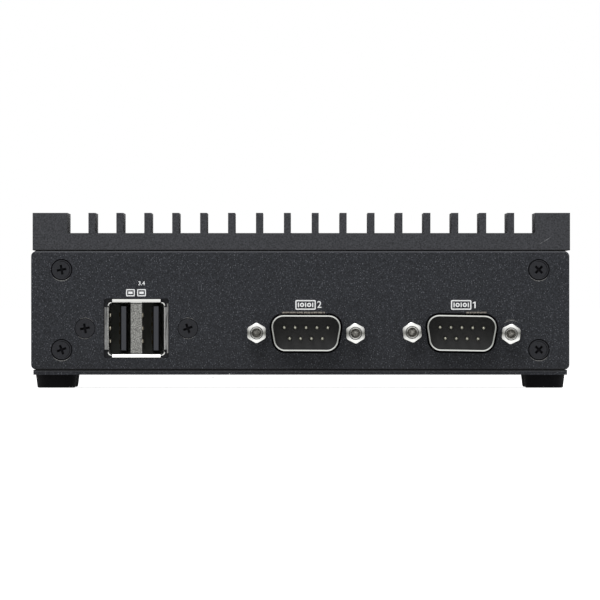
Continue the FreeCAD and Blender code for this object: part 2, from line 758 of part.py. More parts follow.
def make_front_usb():
    shell = node(new_body("usb_front_shell"))
    wide, tall = "usb_half_width", "usb_half_height"
    add(shell, "XZ", "tube_y", "usb_back_y",
        rectangle(f"usb_x - {wide}", f"usb_x + {wide}", f"usb_z - {tall}", f"usb_z + {tall}", "usb_corner"))
    add(shell, "XZ", "mouth_y + divider_recess", "tube_y",
        rectangle("usb_x - (port_pitch - port_width) / 2", "usb_x + (port_pitch - port_width) / 2",
                  "usb_z - port_height / 2 - usb_wall", "usb_z + port_height / 2 + usb_wall"))
    for sign in "-+":
        port = f"(usb_x {sign} port_pitch / 2)"
        take(shell, "XZ", "tube_y", "usb_back_y", rectangle(
            f"{port} - port_width / 2", f"{port} + port_width / 2",
            "usb_z - port_height / 2", "usb_z + port_height / 2"))
    for sign in ("-", "+"):
        flip = "-" if sign == "-" else ""
        add(shell, "YZ", "usb_x - lip_length_top / 2", "usb_x + lip_length_top / 2", [
            ("tube_y", f"usb_z {sign} {tall}"),
            ("mouth_y + usb_wall", f"usb_z {sign} {tall}", "lip_bend_top"),
            ("mouth_y + usb_wall", f"usb_z {sign} ({tall} + lip_reach_top)"),
            ("mouth_y", f"usb_z {sign} ({tall} + lip_reach_top)"),
            ("mouth_y", f"usb_z {sign} ({tall} - usb_wall)", "lip_bend_top + usb_wall"),
            ("tube_y", f"usb_z {sign} ({tall} - usb_wall)")])
        add(shell, "XY", "usb_z - lip_length_side / 2", "usb_z + lip_length_side / 2", [
            (f"usb_x {sign} {wide}", "tube_y + lip_end"),
            (f"usb_x {sign} {wide}", "mouth_y + usb_wall", "lip_bend_side"),
            (f"usb_x {sign} ({wide} + lip_reach_side)", "mouth_y + usb_wall"),
            (f"usb_x {sign} ({wide} + lip_reach_side)", "mouth_y"),
            (f"usb_x {sign} ({wide} - usb_wall)", "mouth_y", "lip_bend_side + usb_wall"),
            (f"usb_x {sign} ({wide} - usb_wall)", "tube_y + lip_end")])
    insulator = node(new_body("usb_front_insulator"))
    add(insulator, "XZ", "usb_back_y", "usb_back_y + usb_plate",
        rectangle(f"usb_x - {wide}", f"usb_x + {wide}", f"usb_z - {tall}", f"usb_z + {tall}"))
    root_y = "mouth_y + tongue_recess + tongue_length"
    for sign in "-+":
        port = f"usb_x {sign} port_pitch / 2"
        add(insulator, "XZ", root_y, "usb_back_y", rectangle(
            f"{port} - port_width / 2 + usb_fit", f"{port} + port_width / 2 - usb_fit",
            "usb_z - port_height / 2 + usb_fit", "usb_z + port_height / 2 - usb_fit"))
        left = f"({port} + tongue_offset - tongue_thickness / 2)"
        right = f"({left} + tongue_thickness)"
        tip = "mouth_y + tongue_recess"
        add(insulator, "XY", "usb_z - tongue_height / 2", "usb_z + tongue_height / 2", [
            (left, root_y), (right, root_y), (right, f"{tip} + tongue_chamfer"),
            (f"{right} - tongue_chamfer", tip), (f"{left} + tongue_chamfer", tip),
            (left, f"{tip} + tongue_chamfer")])
    contacts = []
    for sign in "-+":
        left = f"(usb_x {sign} port_pitch / 2 + tongue_offset - tongue_thickness / 2)"
        for spot in ("-contact_outer", "-contact_inner", "contact_inner", "contact_outer"):
            strip = new_body("usb_front_contact")
            add(strip, "XZ", f"{root_y} - contact_length", root_y, rectangle(
                f"{left} - contact_thickness", left, f"usb_z + {spot} - contact_width / 2",
                f"usb_z + {spot} + contact_width / 2"))
            contacts.append(strip)
    group("usb_front_contacts", contacts)
    bracket = node(new_body("usb_bracket"))
    half, up = "(bracket_width / 2)", "(bracket_height / 2)"
    add(bracket, "XZ", "panel_back_y", "panel_back_y + sheet_thickness",
        rectangle(f"usb_x - {half}", f"usb_x + {half}", f"usb_z - {up}", f"usb_z + {up}"))
    take(bracket, "XZ", "panel_back_y", "panel_back_y + sheet_thickness",
         rectangle(f"usb_x - {wide} - usb_fit", f"usb_x + {wide} + usb_fit", f"usb_z - {tall} - usb_fit",
                   f"usb_z + {tall} + usb_fit"),
         *[threaded_hole(x, z, "small_thread") for x, z in usb_screw_spots()])
    screws = [place(crossed_screw("usb_bracket_screw", "small_length"), x, "front_y", z, "front", twist)
              for (x, z), twist in zip(usb_screw_spots(), (10.0, 20.0))]
    group("usb_bracket_screws", screws)
    moulded_y = "(usb_back_y + usb_plate + usb_back_depth)"
    lead = make_lead("usb_lead", "usb_x", "usb_lead_width", moulded_y, "usb_z")
    add(lead, "XZ", "usb_back_y + usb_plate", moulded_y,
        rectangle(f"usb_x - {wide}", f"usb_x + {wide}", f"usb_z - {tall}", f"usb_z + {tall}"))


def make_lead(label, x, width, start_y, start_z):
    """A flat lead that leaves a connector to the rear, folds up, crosses and ends in a plug on the board."""
    lead = node(new_body(label))
    half = "lead_thickness / 2"
    up_y = f"(({start_y} + socket_y - socket_depth / 2) / 2)"
    add(lead, "YZ", f"{x} - {width} / 2", f"{x} + {width} / 2", [
        (start_y, f"{start_z} - {half}"), (f"{up_y} + {half}", f"{start_z} - {half}"),
        (f"{up_y} + {half}", f"lead_top_z - {half}"), (f"socket_y - {half}", f"lead_top_z - {half}"),
        (f"socket_y - {half}", "socket_top_z"), (f"socket_y + {half}", "socket_top_z"),
        (f"socket_y + {half}", f"lead_top_z + {half}"), (f"{up_y} - {half}", f"lead_top_z + {half}"),
        (f"{up_y} - {half}", f"{start_z} + {half}"), (start_y, f"{start_z} + {half}")])
    half = f"({width} / 2 + socket_margin)"
    add(lead, "XY", "board_top_z", "socket_top_z", rectangle(
        f"{x} - {half}", f"{x} + {half}", "socket_y - socket_depth / 2", "socket_y + socket_depth / 2"))
    return lead


# Serial ports

def pin_spots():
    upper = [(f"({index} * pin_pitch)", "pin_row_pitch / 2") for index in (-2, -1, 0, 1, 2)]
    lower = [(f"({index} * pin_pitch)", "-pin_row_pitch / 2") for index in (-1.5, -0.5, 0.5, 1.5)]
    return upper + lower


def make_serial_port(name, x, twists):
    flange_back = "flange_plate_thickness"
    shell = node(new_body(name + "_shell"))
    half, up = "(flange_plate_width / 2)", "(flange_plate_height / 2)"
    add(shell, "XZ", "0", flange_back, rectangle(f"-{half}", half, f"-{up}", up))
    add(shell, "XZ", "-dee_length", "0", dee("0"))
    take(shell, "XZ", "-dee_length", flange_back, dee("-dee_wall"))
    take(shell, "XZ", "0", flange_back,
         *[threaded_hole(f"{sign}lock_spacing / 2", "0", "lock_hole") for sign in ("-", "")])
    place(shell, x, "panel_back_y", "com_z")
    insulator = node(new_body(name + "_insulator"))
    add(insulator, "XZ", "-insulator_front", flange_back, dee("-dee_wall - insulator_fit"))
    half, up = "(back_block_width / 2)", "(back_block_height / 2)"
    add(insulator, "XZ", flange_back, f"{flange_back} + back_block_depth",
        rectangle(f"-{half}", half, f"-{up}", up))
    place(insulator, x, "panel_back_y", "com_z")
    pins = []
    reach = "(dee_length - pin_recess)"
    for across, up_ in pin_spots():
        pin = new_body(name + "_pin")
        add(pin, "XY", "insulator_front", reach, octagon("0", "0", "pin_radius"))
        pins.append(place(pin, f"{x} + {across}", "panel_back_y", f"com_z + {up_}", "front"))
    group(name + "_pins", pins)
    locks = []
    for sign, twist in zip("-+", twists):
        lock = new_body(name + "_screwlock")
        add(lock, "XY", "0", "lock_proud", hexagon("lock_flats"))
        slope = "(lock_flats - lock_face_radius) * tan(30)"
        turn(lock, [("lock_face_radius", "lock_proud"), ("lock_flats", "lock_proud"),
                    ("lock_flats", f"lock_proud - {slope}")], "Groove")
        add(lock, "XY", "-panel_thickness - flange_plate_thickness - lock_nut_height", "0",
            octagon("0", "0", "lock_thread_radius"))
        take(lock, "XY", "lock_proud - lock_bore_depth", "lock_proud", circle("0", "0", "lock_thread_radius"))
        locks.append(place(lock, f"{x} {sign} lock_spacing / 2", "front_y", "com_z", "front", twist))
    group(name + "_screwlocks", locks)
    start_y = "(panel_back_y + flange_plate_thickness + back_block_depth)"
    make_lead(name + "_lead", x, "serial_lead_width", start_y, "com_z")


def make_lock_nuts():
    nuts = []
    for x, z in lock_spots():
        nut = new_body("screwlock_nut")
        add(nut, "XY", "0", "lock_nut_height", hexagon("lock_flats"))
        take(nut, "XY", "0", "lock_nut_height",
             threaded_hole("0", "0", "lock_thread_radius + thread_clearance"))
        nuts.append(place(nut, x, "panel_back_y + flange_plate_thickness", z, "rear"))
    group("screwlock_nuts", nuts)


# Main board and what it carries

def make_board():
    board = node(new_body("mainboard"))
    half = "(board_width / 2)"
    add(board, "XY", "board_bottom_z", "board_top_z",
        rectangle(f"-{half}", half, "board_front_y", "board_rear_y"))
    take(board, "XY", "board_bottom_z", "board_top_z",
         *[threaded_hole(x, y, "large_hole") for x, y in standoff_spots()])
    standoffs, screws = [], []
    for x, y in standoff_spots():
        pillar = new_body("board_standoff")
        add(pillar, "XY", "board_top_z", "ceiling_z", hexagon("standoff_flats"))
        add(pillar, "XY", "ceiling_z", "chassis_top_z + sink_hole_depth - screw_end_gap",
            octagon("0", "0", "large_radius"))
        take(pillar, "XY", "board_top_z", "board_top_z + standoff_thread_depth",
             threaded_hole("0", "0", "large_thread"))
        standoffs.append(place(pillar, x, y, "0"))
        screws.append(place(pan_screw("board_screw", "board_screw_length"), x, y, "board_bottom_z", "down"))
    group("board_standoffs", standoffs)
    group("board_screws", screws)


def make_processor():
    chip = node(new_body("processor"))
    wide, deep = "(chip_width / 2)", "(chip_depth / 2)"
    add(chip, "XY", "board_top_z", "chip_top_z",
        rectangle(f"-{wide}", wide, f"chip_y - {deep}", f"chip_y + {deep}"))
    pad = node(new_body("thermal_pad"))
    add(pad, "XY", "chip_top_z", "block_bottom_z",
        rectangle(f"-{wide}", wide, f"chip_y - {deep}", f"chip_y + {deep}"))
    block = node(new_body("heat_block"))
    half = "(block_size / 2)"
    add(block, "XY", "block_bottom_z", "chassis_top_z",
        rectangle(f"-{half}", half, f"chip_y - {half}", f"chip_y + {half}"))


def make_coin_cell():
    holder = node(new_body("coin_cell_holder"))
    half, rim = "(coin_radius + holder_wall)", "holder_floor + coin_height - holder_lip"
    add(holder, "XY", "0", rim, rectangle(f"-{half}", half, f"-{half}", half))
    take(holder, "XY", "holder_floor", rim, circle("0", "0", "coin_radius + holder_fit"))
    place(holder, "coin_x", "coin_y", "board_top_z")
    cell = node(new_body("coin_cell"))
    add(cell, "XY", "0", "coin_height", circle("0", "0", "coin_radius"))
    place(cell, "coin_x", "coin_y", "board_top_z + holder_floor")


def make_power_parts():
    coils = []
    for step in (-1, 0, 1):
        coil = new_body("power_inductor")
        half = "(inductor_size / 2)"
        add(coil, "XY", "0", "inductor_height", rectangle(f"-{half}", half, f"-{half}", half))
        coils.append(place(coil, f"power_x + ({step}) * inductor_pitch", "inductor_y", "board_top_z"))
    group("power_inductors", coils)
    cans = []
    for step in (-0.5, 0.5):
        can = new_body("capacitor")
        add(can, "XY", "0", "capacitor_height", circle("0", "0", "capacitor_radius"))
        cans.append(place(can, f"capacitor_x + ({step}) * capacitor_pitch", "capacitor_y", "board_top_z"))
    group("capacitors", cans)


def make_module(name, plane_box, chip_spots, chip_size, socket_box, slot_box):
    """A module that lies under the board in its edge socket: (left, right, front, rear) boxes."""
    low = "(board_bottom_z - module_drop - module_thickness)"
    high = f"({low} + module_thickness)"
    module = node(new_body(name + "_module"))
    add(module, "XY", low, high, rectangle(*plane_box))
    wide, deep = chip_size
    chips = [rectangle(f"{x} - {wide} / 2", f"{x} + {wide} / 2", f"{y} - {deep} / 2", f"{y} + {deep} / 2")
             for x, y in chip_spots]
    add(module, "XY", f"{low} - module_chip_height", low, *chips)
    socket = node(new_body(name + "_socket"))
    add(socket, "XY", "board_bottom_z - edge_socket_height", "board_bottom_z", rectangle(*socket_box))
    take(socket, "XY", f"{low} - slot_fit", f"{high} + slot_fit", rectangle(*slot_box))


def make_modules():
    half, rear = "(memory_width / 2)", "memory_rear_y"
    side = f"({half} + socket_margin)"
    row_y = f"({rear} - memory_depth + memory_chip_from_edge + memory_chip_depth / 2)"
    make_module("memory", (f"-{half}", half, f"{rear} - memory_depth", rear),
                [(f"({step}) * memory_chip_pitch", row_y) for step in (-1.5, -0.5, 0.5, 1.5)],
                ("memory_chip_width", "memory_chip_depth"),
                (f"-{side}", side, f"{rear} - slot_depth", f"{rear} - slot_depth + edge_socket_depth"),
                (f"-{half} - slot_fit", f"{half} + slot_fit", f"{rear} - slot_depth", f"{rear} + slot_fit"))
    front, rear = "(board_front_y + storage_from_edge)", "storage_rear_y"
    middle = f"({front} + storage_depth / 2)"
    across = "storage_x - storage_width / 2"
    make_module("storage", ("storage_x - storage_width", "storage_x", front, rear),
                [(f"{across} + ({step}) * storage_chip_pitch", middle) for step in (-0.5, 0.5)],
                ("storage_chip_width", "storage_chip_depth"),
                ("storage_x - slot_depth", "storage_x - slot_depth + edge_socket_depth",
                 f"{front} - edge_socket_margin", f"{rear} + edge_socket_margin"),
                ("storage_x - slot_depth", "storage_x + slot_fit",
                 f"{front} - slot_fit", f"{rear} + slot_fit"))


# Rear connectors, all seated on the board with their faces just proud of the rear panel

def make_rear_usb():
    shell = node(new_body("usb_rear_shell"))
    half = "(rear_usb_width / 2)"
    back = "rear_face_y - rear_usb_depth"
    add(shell, "XZ", back, "rear_face_y", rectangle(
        f"rear_usb_x - {half}", f"rear_usb_x + {half}",
        "board_top_z", "board_top_z + rear_usb_height", "usb_corner"))
    for level in ("rear_port_low", "rear_port_high"):
        middle = f"(board_top_z + {level})"
        take(shell, "XZ", back, "rear_face_y", rectangle(
            "rear_usb_x - rear_port_width / 2", "rear_usb_x + rear_port_width / 2",
            f"{middle} - rear_port_height / 2", f"{middle} + rear_port_height / 2"))
    insulator = node(new_body("usb_rear_insulator"))
    add(insulator, "XZ", f"{back} - usb_plate", back, rectangle(
        f"rear_usb_x - {half}", f"rear_usb_x + {half}", "board_top_z", "board_top_z + rear_usb_height"))
    for level in ("rear_port_low", "rear_port_high"):
        middle = f"(board_top_z + {level})"
        root = "rear_face_y - tongue_recess - tongue_length"
        add(insulator, "XZ", back, root, rectangle(
            "rear_usb_x - rear_port_width / 2 + usb_fit", "rear_usb_x + rear_port_width / 2 - usb_fit",
            f"{middle} - rear_port_height / 2 + usb_fit", f"{middle} + rear_port_height / 2 - usb_fit"))
        bottom = f"({middle} + rear_tongue_offset - rear_tongue_thickness / 2)"
        add(insulator, "XZ", root, "rear_face_y - tongue_recess", rectangle(
            "rear_usb_x - rear_tongue_width / 2", "rear_usb_x + rear_tongue_width / 2",
            bottom, f"{bottom} + rear_tongue_thickness"))


def make_network_jack(name, x):
    back = "rear_face_y - jack_depth"
    half = "(jack_width / 2)"
    shield = node(new_body(name + "_shield"))
    add(shield, "XZ", back, "rear_face_y", rectangle(
        f"{x} - {half}", f"{x} + {half}", "board_top_z", "board_top_z + jack_height"))
    take(shield, "XZ", back, "rear_face_y - jack_wall", rectangle(
        f"{x} - {half} + jack_wall", f"{x} + {half} - jack_wall",
        "board_top_z", "board_top_z + jack_height - jack_wall"))
    margin = "jack_window_margin"
    take(shield, "XZ", "rear_face_y - jack_wall", "rear_face_y", rectangle(
        f"{x} - {half} + {margin}", f"{x} + {half} - {margin}", f"board_top_z + {margin}",
        f"board_top_z + jack_height - {margin}"))
    body = node(new_body(name + "_insulator"))
    add(body, "XZ", back, "rear_face_y - jack_wall", rectangle(
        f"{x} - {half} + jack_wall + usb_fit", f"{x} + {half} - jack_wall - usb_fit", "board_top_z",
        "board_top_z + jack_height - jack_wall - usb_fit"))
    wide, latch = "(jack_cavity_width / 2)", "(jack_latch_width / 2)"
    floor = "(board_top_z + jack_cavity_floor)"
    deep = "rear_face_y - jack_wall - jack_cavity_depth"
    low, roof = f"({floor} - jack_latch_height)", f"({floor} + jack_cavity_height)"
    take(body, "XZ", deep, "rear_face_y - jack_wall", [
        (f"{x} - {wide}", floor), (f"{x} - {latch}", floor), (f"{x} - {latch}", low),
        (f"{x} + {latch}", low), (f"{x} + {latch}", floor), (f"{x} + {wide}", floor),
        (f"{x} + {wide}", roof), (f"{x} - {wide}", roof)])
    wires = []
    front, back = "rear_face_y - jack_wire_front", "rear_face_y - jack_wire_back"
    for index in range(8):
        wire = new_body(name + "_wire")
        middle = f"({x} + ({index} - 3.5) * jack_wire_pitch)"
        add(wire, "YZ", f"{middle} - jack_wire_width / 2", f"{middle} + jack_wire_width / 2", [
            (front, roof), (front, f"{roof} - jack_wire_thickness"),
            (back, f"{roof} - jack_wire_drop - jack_wire_thickness"), (back, f"{roof} - jack_wire_drop")])
        wires.append(wire)
    return wires


def make_video_port():
    shell = node(new_body("video_port_shell"))
    half = "(video_width / 2)"
    back = "rear_face_y - video_depth"

    def section(shrink):
        """A flat opening with its two lower corners cut off."""
        low, high = f"(board_top_z + ({shrink}))", f"(board_top_z + video_height - ({shrink}))"
        side = f"({half} - ({shrink}))"
        return [(f"video_x - {side}", high), (f"video_x - {side}", f"{low} + video_chamfer"),
                (f"video_x - {side} + video_chamfer", low), (f"video_x + {side} - video_chamfer", low),
                (f"video_x + {side}", f"{low} + video_chamfer"), (f"video_x + {side}", high)]

    add(shell, "XZ", back, "rear_face_y", section("0"))
    take(shell, "XZ", back, "rear_face_y", section("video_wall"))
    insulator = node(new_body("video_port_insulator"))
    add(insulator, "XZ", back, f"{back} + video_block_depth", section("video_wall + usb_fit"))
    middle = "(board_top_z + video_height / 2)"
    add(insulator, "XZ", f"{back} + video_block_depth", f"{back} + video_block_depth + video_tongue_length",
        rectangle("video_x - video_tongue_width / 2", "video_x + video_tongue_width / 2",
                  f"{middle} - video_tongue_thickness / 2", f"{middle} + video_tongue_thickness / 2"))


def make_power_inlet():
    inlet = node(new_body("power_inlet"))
    half = "(inlet_width / 2)"
    add(inlet, "XZ", "rear_face_y - inlet_depth", "rear_face_y", rectangle(
        f"inlet_x - {half}", f"inlet_x + {half}", "board_top_z", "board_top_z + inlet_height"))
    take(inlet, "XZ", "rear_face_y - inlet_bore_depth", "rear_face_y",
         circle("inlet_x", "board_top_z + inlet_above_board", "inlet_bore_radius"))
    pin = node(new_body("power_inlet_pin"))
    add(pin, "XY", "0", "inlet_pin_length", circle("0", "0", "inlet_pin_radius"))
    place(pin, "inlet_x", "rear_face_y - inlet_bore_depth", "board_top_z + inlet_above_board", "rear")


def make_power_button():
    button = node(new_body("power_button"))
    flange, stem = "(button_flange_width / 2)", "(button_stem_width / 2)"
    face = "(rear_y + button_proud - button_flange_y)"
    turn(button, [("0", "0"), ("button_radius", "0"), ("button_radius", f"{face} - button_chamfer"),
                  ("button_radius - button_chamfer", face), ("0", face)])
    add(button, "XY", "0", "button_flange_height", rectangle(f"-{flange}", flange, f"-{flange}", flange))
    add(button, "XY", "switch_face_y - button_stem_entry - button_flange_y", "0",
        rectangle(f"-{stem}", stem, f"-{stem}", stem))
    place(button, "button_x", "button_flange_y", "button_z", "rear")
    switch = node(new_body("power_switch"))
    half = "(switch_width / 2)"
    add(switch, "XZ", "switch_face_y - switch_depth", "switch_face_y", rectangle(
        f"button_x - {half}", f"button_x + {half}", "board_top_z", "board_top_z + switch_height"))
    bore = "(button_stem_width / 2 + switch_bore_clearance)"
    take(switch, "XZ", "switch_face_y - button_stem_entry - button_travel - switch_bore_clearance",
         "switch_face_y", rectangle(f"button_x - {bore}", f"button_x + {bore}", f"button_z - {bore}",
                                    f"button_z + {bore}"))


make_heatsink()
make_chassis()
make_front_panel()
make_rear_panel()
make_bottom_cover()
make_feet()
make_side_plug()
make_case_screws()
make_front_usb()
make_serial_port("com2", "com2_x", (0.0, 0.0))
make_serial_port("com1", "com1_x", (8.0, -4.0))
make_lock_nuts()
make_board()
make_processor()
make_coin_cell()
make_power_parts()
make_modules()
make_rear_usb()
group("lan_wires", make_network_jack("lan1", "lan1_x") + make_network_jack("lan2", "lan2_x"))
make_video_port()
make_power_inlet()
make_power_button()
doc.recompute()

for item in doc.Objects:
    if "Invalid" in item.State or "Error" in item.State:
        raise RuntimeError(f"{item.Label} failed: {item.State}")
os.makedirs("parts", exist_ok=True)
for part in nodes:
    if part.Shape.isNull() or not part.Shape.isValid() or not part.Shape.Solids:
        raise RuntimeError(f"{part.Label} has no sound solid")
for part in nodes:
    part.Shape.exportStep(f"parts/{part.Label}.step")
print(len(nodes), "nodes,", sum(len(part.Shape.Solids) for part in nodes), "solids")
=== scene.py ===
import json
import math

import bmesh
import bpy
from mathutils import Matrix, Vector


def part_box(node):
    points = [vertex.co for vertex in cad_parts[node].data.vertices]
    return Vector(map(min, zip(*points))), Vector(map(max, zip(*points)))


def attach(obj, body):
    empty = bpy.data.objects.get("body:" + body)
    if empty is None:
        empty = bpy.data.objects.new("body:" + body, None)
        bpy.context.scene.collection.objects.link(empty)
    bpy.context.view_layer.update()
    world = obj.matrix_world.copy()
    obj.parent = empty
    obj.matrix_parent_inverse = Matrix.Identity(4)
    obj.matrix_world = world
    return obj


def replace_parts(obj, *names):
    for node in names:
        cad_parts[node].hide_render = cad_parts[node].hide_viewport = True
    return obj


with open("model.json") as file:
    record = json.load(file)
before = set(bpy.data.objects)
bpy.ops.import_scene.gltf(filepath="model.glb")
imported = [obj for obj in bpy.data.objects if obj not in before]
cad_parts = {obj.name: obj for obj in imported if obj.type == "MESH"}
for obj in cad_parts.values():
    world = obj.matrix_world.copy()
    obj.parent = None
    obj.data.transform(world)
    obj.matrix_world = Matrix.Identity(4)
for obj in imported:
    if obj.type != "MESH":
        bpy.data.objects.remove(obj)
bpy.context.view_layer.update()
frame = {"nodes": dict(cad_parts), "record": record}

# A fanless industrial computer. Metres, +Z up, and the panel with the serial and USB ports faces -Y.
MM = 0.001
LOCK_SPACING = 24.99 * MM
LOCK_GROOVE_DEPTH = 0.2 * MM
LOCK_MOUTH_RADIUS = 1.16 * MM
LOCK_SIDES = 72
SCREW_HEAD_RADIUS = 2.45 * MM
MARK_THICKNESS = 0.02 * MM
SAME_SPOT = 0.001 * MM
FRONT, REAR = (0, -1, 0), (0, 1, 0)
UP, DOWN = (0, 0, 1), (0, 0, -1)
Y, Z = 1, 2  # the axes' places in a vector

PANEL_LOW, PANEL_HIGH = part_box("front_panel")
FACE_Y = PANEL_LOW.y


def middle(node):
    """The middle of a node's box."""
    low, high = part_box(node)
    return (low + high) / 2


# Material graphs

def colour(red, green, blue):
    """A colour given in 0 to 255 as it is seen on a screen."""
    def linear(level):
        part = level / 255
        return part / 12.92 if part <= 0.04045 else ((part + 0.055) / 1.055) ** 2.4
    return (linear(red), linear(green), linear(blue), 1.0)


class Finish:
    """A material with one Principled shader, and short ways to add nodes in front of it."""

    def __init__(self, name, base, roughness=0.5, metallic=0.0, specular=0.5):
        self.material = bpy.data.materials.new(name)
        self.material.use_nodes = True
        self.nodes = self.material.node_tree.nodes
        self.links = self.material.node_tree.links
        self.shader = self.nodes["Principled BSDF"]
        self.shader.inputs["Base Color"].default_value = base
        self.shader.inputs["Roughness"].default_value = roughness
        self.shader.inputs["Metallic"].default_value = metallic
        self.shader.inputs["Specular IOR Level"].default_value = specular
        self.place = self.nodes.new("ShaderNodeTexCoord").outputs["Object"]

    def mapping(self, scale):
        """The place on the piece, with each axis stretched by its own scale."""
        node = self.nodes.new("ShaderNodeMapping")
        node.inputs["Scale"].default_value = scale
        self.links.new(self.place, node.inputs["Vector"])
        return node.outputs["Vector"]

    def noise(self, grain, detail=2.0, vector=None, roughness=0.5):
        """Noise whose lumps are about a grain wide, in metres."""
        node = self.nodes.new("ShaderNodeTexNoise")
        node.inputs["Scale"].default_value = 1 / grain
        node.inputs["Detail"].default_value = detail
        node.inputs["Roughness"].default_value = roughness
        self.links.new(vector or self.place, node.inputs["Vector"])
        return node.outputs["Fac"]

    def ramp(self, value, stops):
        """A colour that runs through stops of (position, colour)."""
        node = self.nodes.new("ShaderNodeValToRGB")
        marks = node.color_ramp.elements
        while len(marks) < len(stops):
            marks.new(0.5)
        for mark, (position, shade) in zip(marks, stops):
            mark.position = position
            mark.color = shade
        self.links.new(value, node.inputs["Fac"])
        return node.outputs["Color"]

    def mix(self, factor, first, second):
        """The first colour where the factor is 0, and the second where it is 1."""
        node = self.nodes.new("ShaderNodeMix")
        node.data_type = "RGBA"
        for socket, source in ((0, factor), (6, first), (7, second)):
            if isinstance(source, (tuple, float, int)):
                node.inputs[socket].default_value = source
            else:
                self.links.new(source, node.inputs[socket])
        return node.outputs[2]

    def math(self, operation, first, second=0.0):
        """One sum on two numbers or sockets."""
        node = self.nodes.new("ShaderNodeMath")
        node.operation = operation
        for socket, source in enumerate((first, second)):
            if isinstance(source, (float, int)):
                node.inputs[socket].default_value = source
            else:
                self.links.new(source, node.inputs[socket])
        return node.outputs[0]

    def part_of_place(self, letter):
        """One coordinate of the shaded point, in metres."""
        node = self.nodes.new("ShaderNodeSeparateXYZ")
        self.links.new(self.place, node.inputs["Vector"])
        return node.outputs[letter]

    def above(self, letter, level):
        """1 where a coordinate is over a level, and 0 elsewhere."""
        return self.math("GREATER_THAN", self.part_of_place(letter), level)

    def below(self, letter, level):
        """1 where a coordinate is under a level, and 0 elsewhere."""
        return self.math("LESS_THAN", self.part_of_place(letter), level)

    def away_from(self, letter, level):
        """How far a coordinate is from a level, to either side."""
        return self.math("ABSOLUTE", self.math("SUBTRACT", self.part_of_place(letter), level))

    def base(self, source):
        """Gives the shader its colour."""
        self.links.new(source, self.shader.inputs["Base Color"])

    def bump(self, height, depth, strength, edge=0.0):
        """Raises the surface by a pattern, and softens its edges where an edge radius is given."""
        node = self.nodes.new("ShaderNodeBump")
        if edge:
            soft = self.nodes.new("ShaderNodeBevel")
            soft.samples = 4
            soft.inputs["Radius"].default_value = edge
            self.links.new(soft.outputs["Normal"], node.inputs["Normal"])
        node.inputs["Distance"].default_value = depth
        node.inputs["Strength"].default_value = strength
        self.links.new(height, node.inputs["Height"])
        self.links.new(node.outputs["Normal"], self.shader.inputs["Normal"])


def powder_coat(name="powder_coat", edge_light_and_shade=None):
    """Black sand-texture coat: fine lumps, with a few paler grains."""
    finish = Finish(name, colour(36, 37, 40), 0.6, specular=0.2)
    lumps = finish.noise(0.36 * MM, 2.0, roughness=0.7)
    tone = finish.ramp(lumps, ((0.32, colour(8, 10, 14)), (0.68, colour(40, 42, 47))))
    grains = finish.ramp(finish.noise(0.27 * MM, 0.0), ((0.66, (0, 0, 0, 1)), (0.8, (1, 1, 1, 1))))
    coat = finish.mix(grains, tone, colour(86, 88, 93))
    # the edge function, where given, paints a highlight and shade onto the coat
    if edge_light_and_shade:
        coat = edge_light_and_shade(finish, coat)
    finish.base(coat)
    finish.bump(lumps, 0.03 * MM, 0.5, 0.2 * MM)
    return finish.material


def panel_edge(finish, coat):
    """Painted light on the panel: a highlight on its top edge, shade that deepens down its lower part, and
    shade on its lower edge.
    """
    lit, shaded, dusk_height, dusk_share = 0.24 * MM, 0.22 * MM, 9 * MM, 0.16
    under = finish.math("SUBTRACT", PANEL_LOW.z + dusk_height, finish.part_of_place("Z"))
    dusk = finish.math("MAXIMUM", finish.math("MULTIPLY", under, dusk_share / dusk_height), 0.0)
    coat = finish.mix(dusk, coat, colour(8, 8, 7))
    coat = finish.mix(finish.above("Z", PANEL_HIGH.z - lit), coat, colour(80, 81, 85))
    return finish.mix(finish.below("Z", PANEL_LOW.z + shaded), coat, colour(4, 4, 5))


def cover_edge(finish, coat):
    """The cover's rim catches the light just under its upper edge, which lies in shade."""
    top, lit, lit_share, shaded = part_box("bottom_cover")[1].z, 0.4 * MM, 0.5, 0.13 * MM
    glint = finish.math("MULTIPLY", finish.above("Z", top - lit), lit_share)
    coat = finish.mix(glint, coat, colour(84, 85, 88))
    return finish.mix(finish.above("Z", top - shaded), coat, colour(4, 4, 5))


def sink_foot(finish, grain):
    """The lowest edge of the heat sink lies in shade."""
    foot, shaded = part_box("heatsink")[0].z, 0.2 * MM
    return finish.mix(finish.below("Z", foot + shaded), grain, colour(24, 24, 26))


def anodised_aluminium():
    """Sawn and anodised: a fine even grain."""
    finish = Finish("anodised_aluminium", colour(50, 51, 55), 0.55, specular=0.25)
    grain = finish.noise(0.36 * MM, 2.0, roughness=0.6)
    tone = finish.ramp(grain, ((0.32, colour(24, 25, 28)), (0.68, colour(57, 58, 62))))
    finish.base(sink_foot(finish, tone))
    finish.bump(grain, 0.015 * MM, 0.5, 0.2 * MM)
    return finish.material


def black_screw():
    """Blackened steel."""
    finish = Finish("black_screw", colour(30, 30, 33), 0.5, specular=0.2)
    grain = finish.noise(0.3 * MM)
    finish.base(finish.ramp(grain, ((0.35, colour(20, 21, 25)), (0.65, colour(31, 32, 36)))))
    finish.bump(grain, 0.01 * MM, 0.5)
    return finish.material


def nickel():
    """Bright plating with a slight haze."""
    finish = Finish("nickel", colour(214, 214, 210), 0.3, 1.0)
    haze = finish.noise(0.8 * MM, 3.0)
    finish.base(finish.ramp(haze, ((0.3, colour(200, 200, 197)), (0.7, colour(226, 226, 223)))))
    finish.bump(haze, 0.01 * MM, 0.4)
    return finish.material


def sheen_and_haze_from_the_middle(finish, haze, reach, share):
    """A level of painted sheen that rises above and below the middle of the serial ports, with some haze."""
    up = finish.away_from("Z", middle("com1_shell").z)
    return finish.math("ADD", finish.math("MULTIPLY", up, 1 / reach), finish.math("MULTIPLY", haze, share))


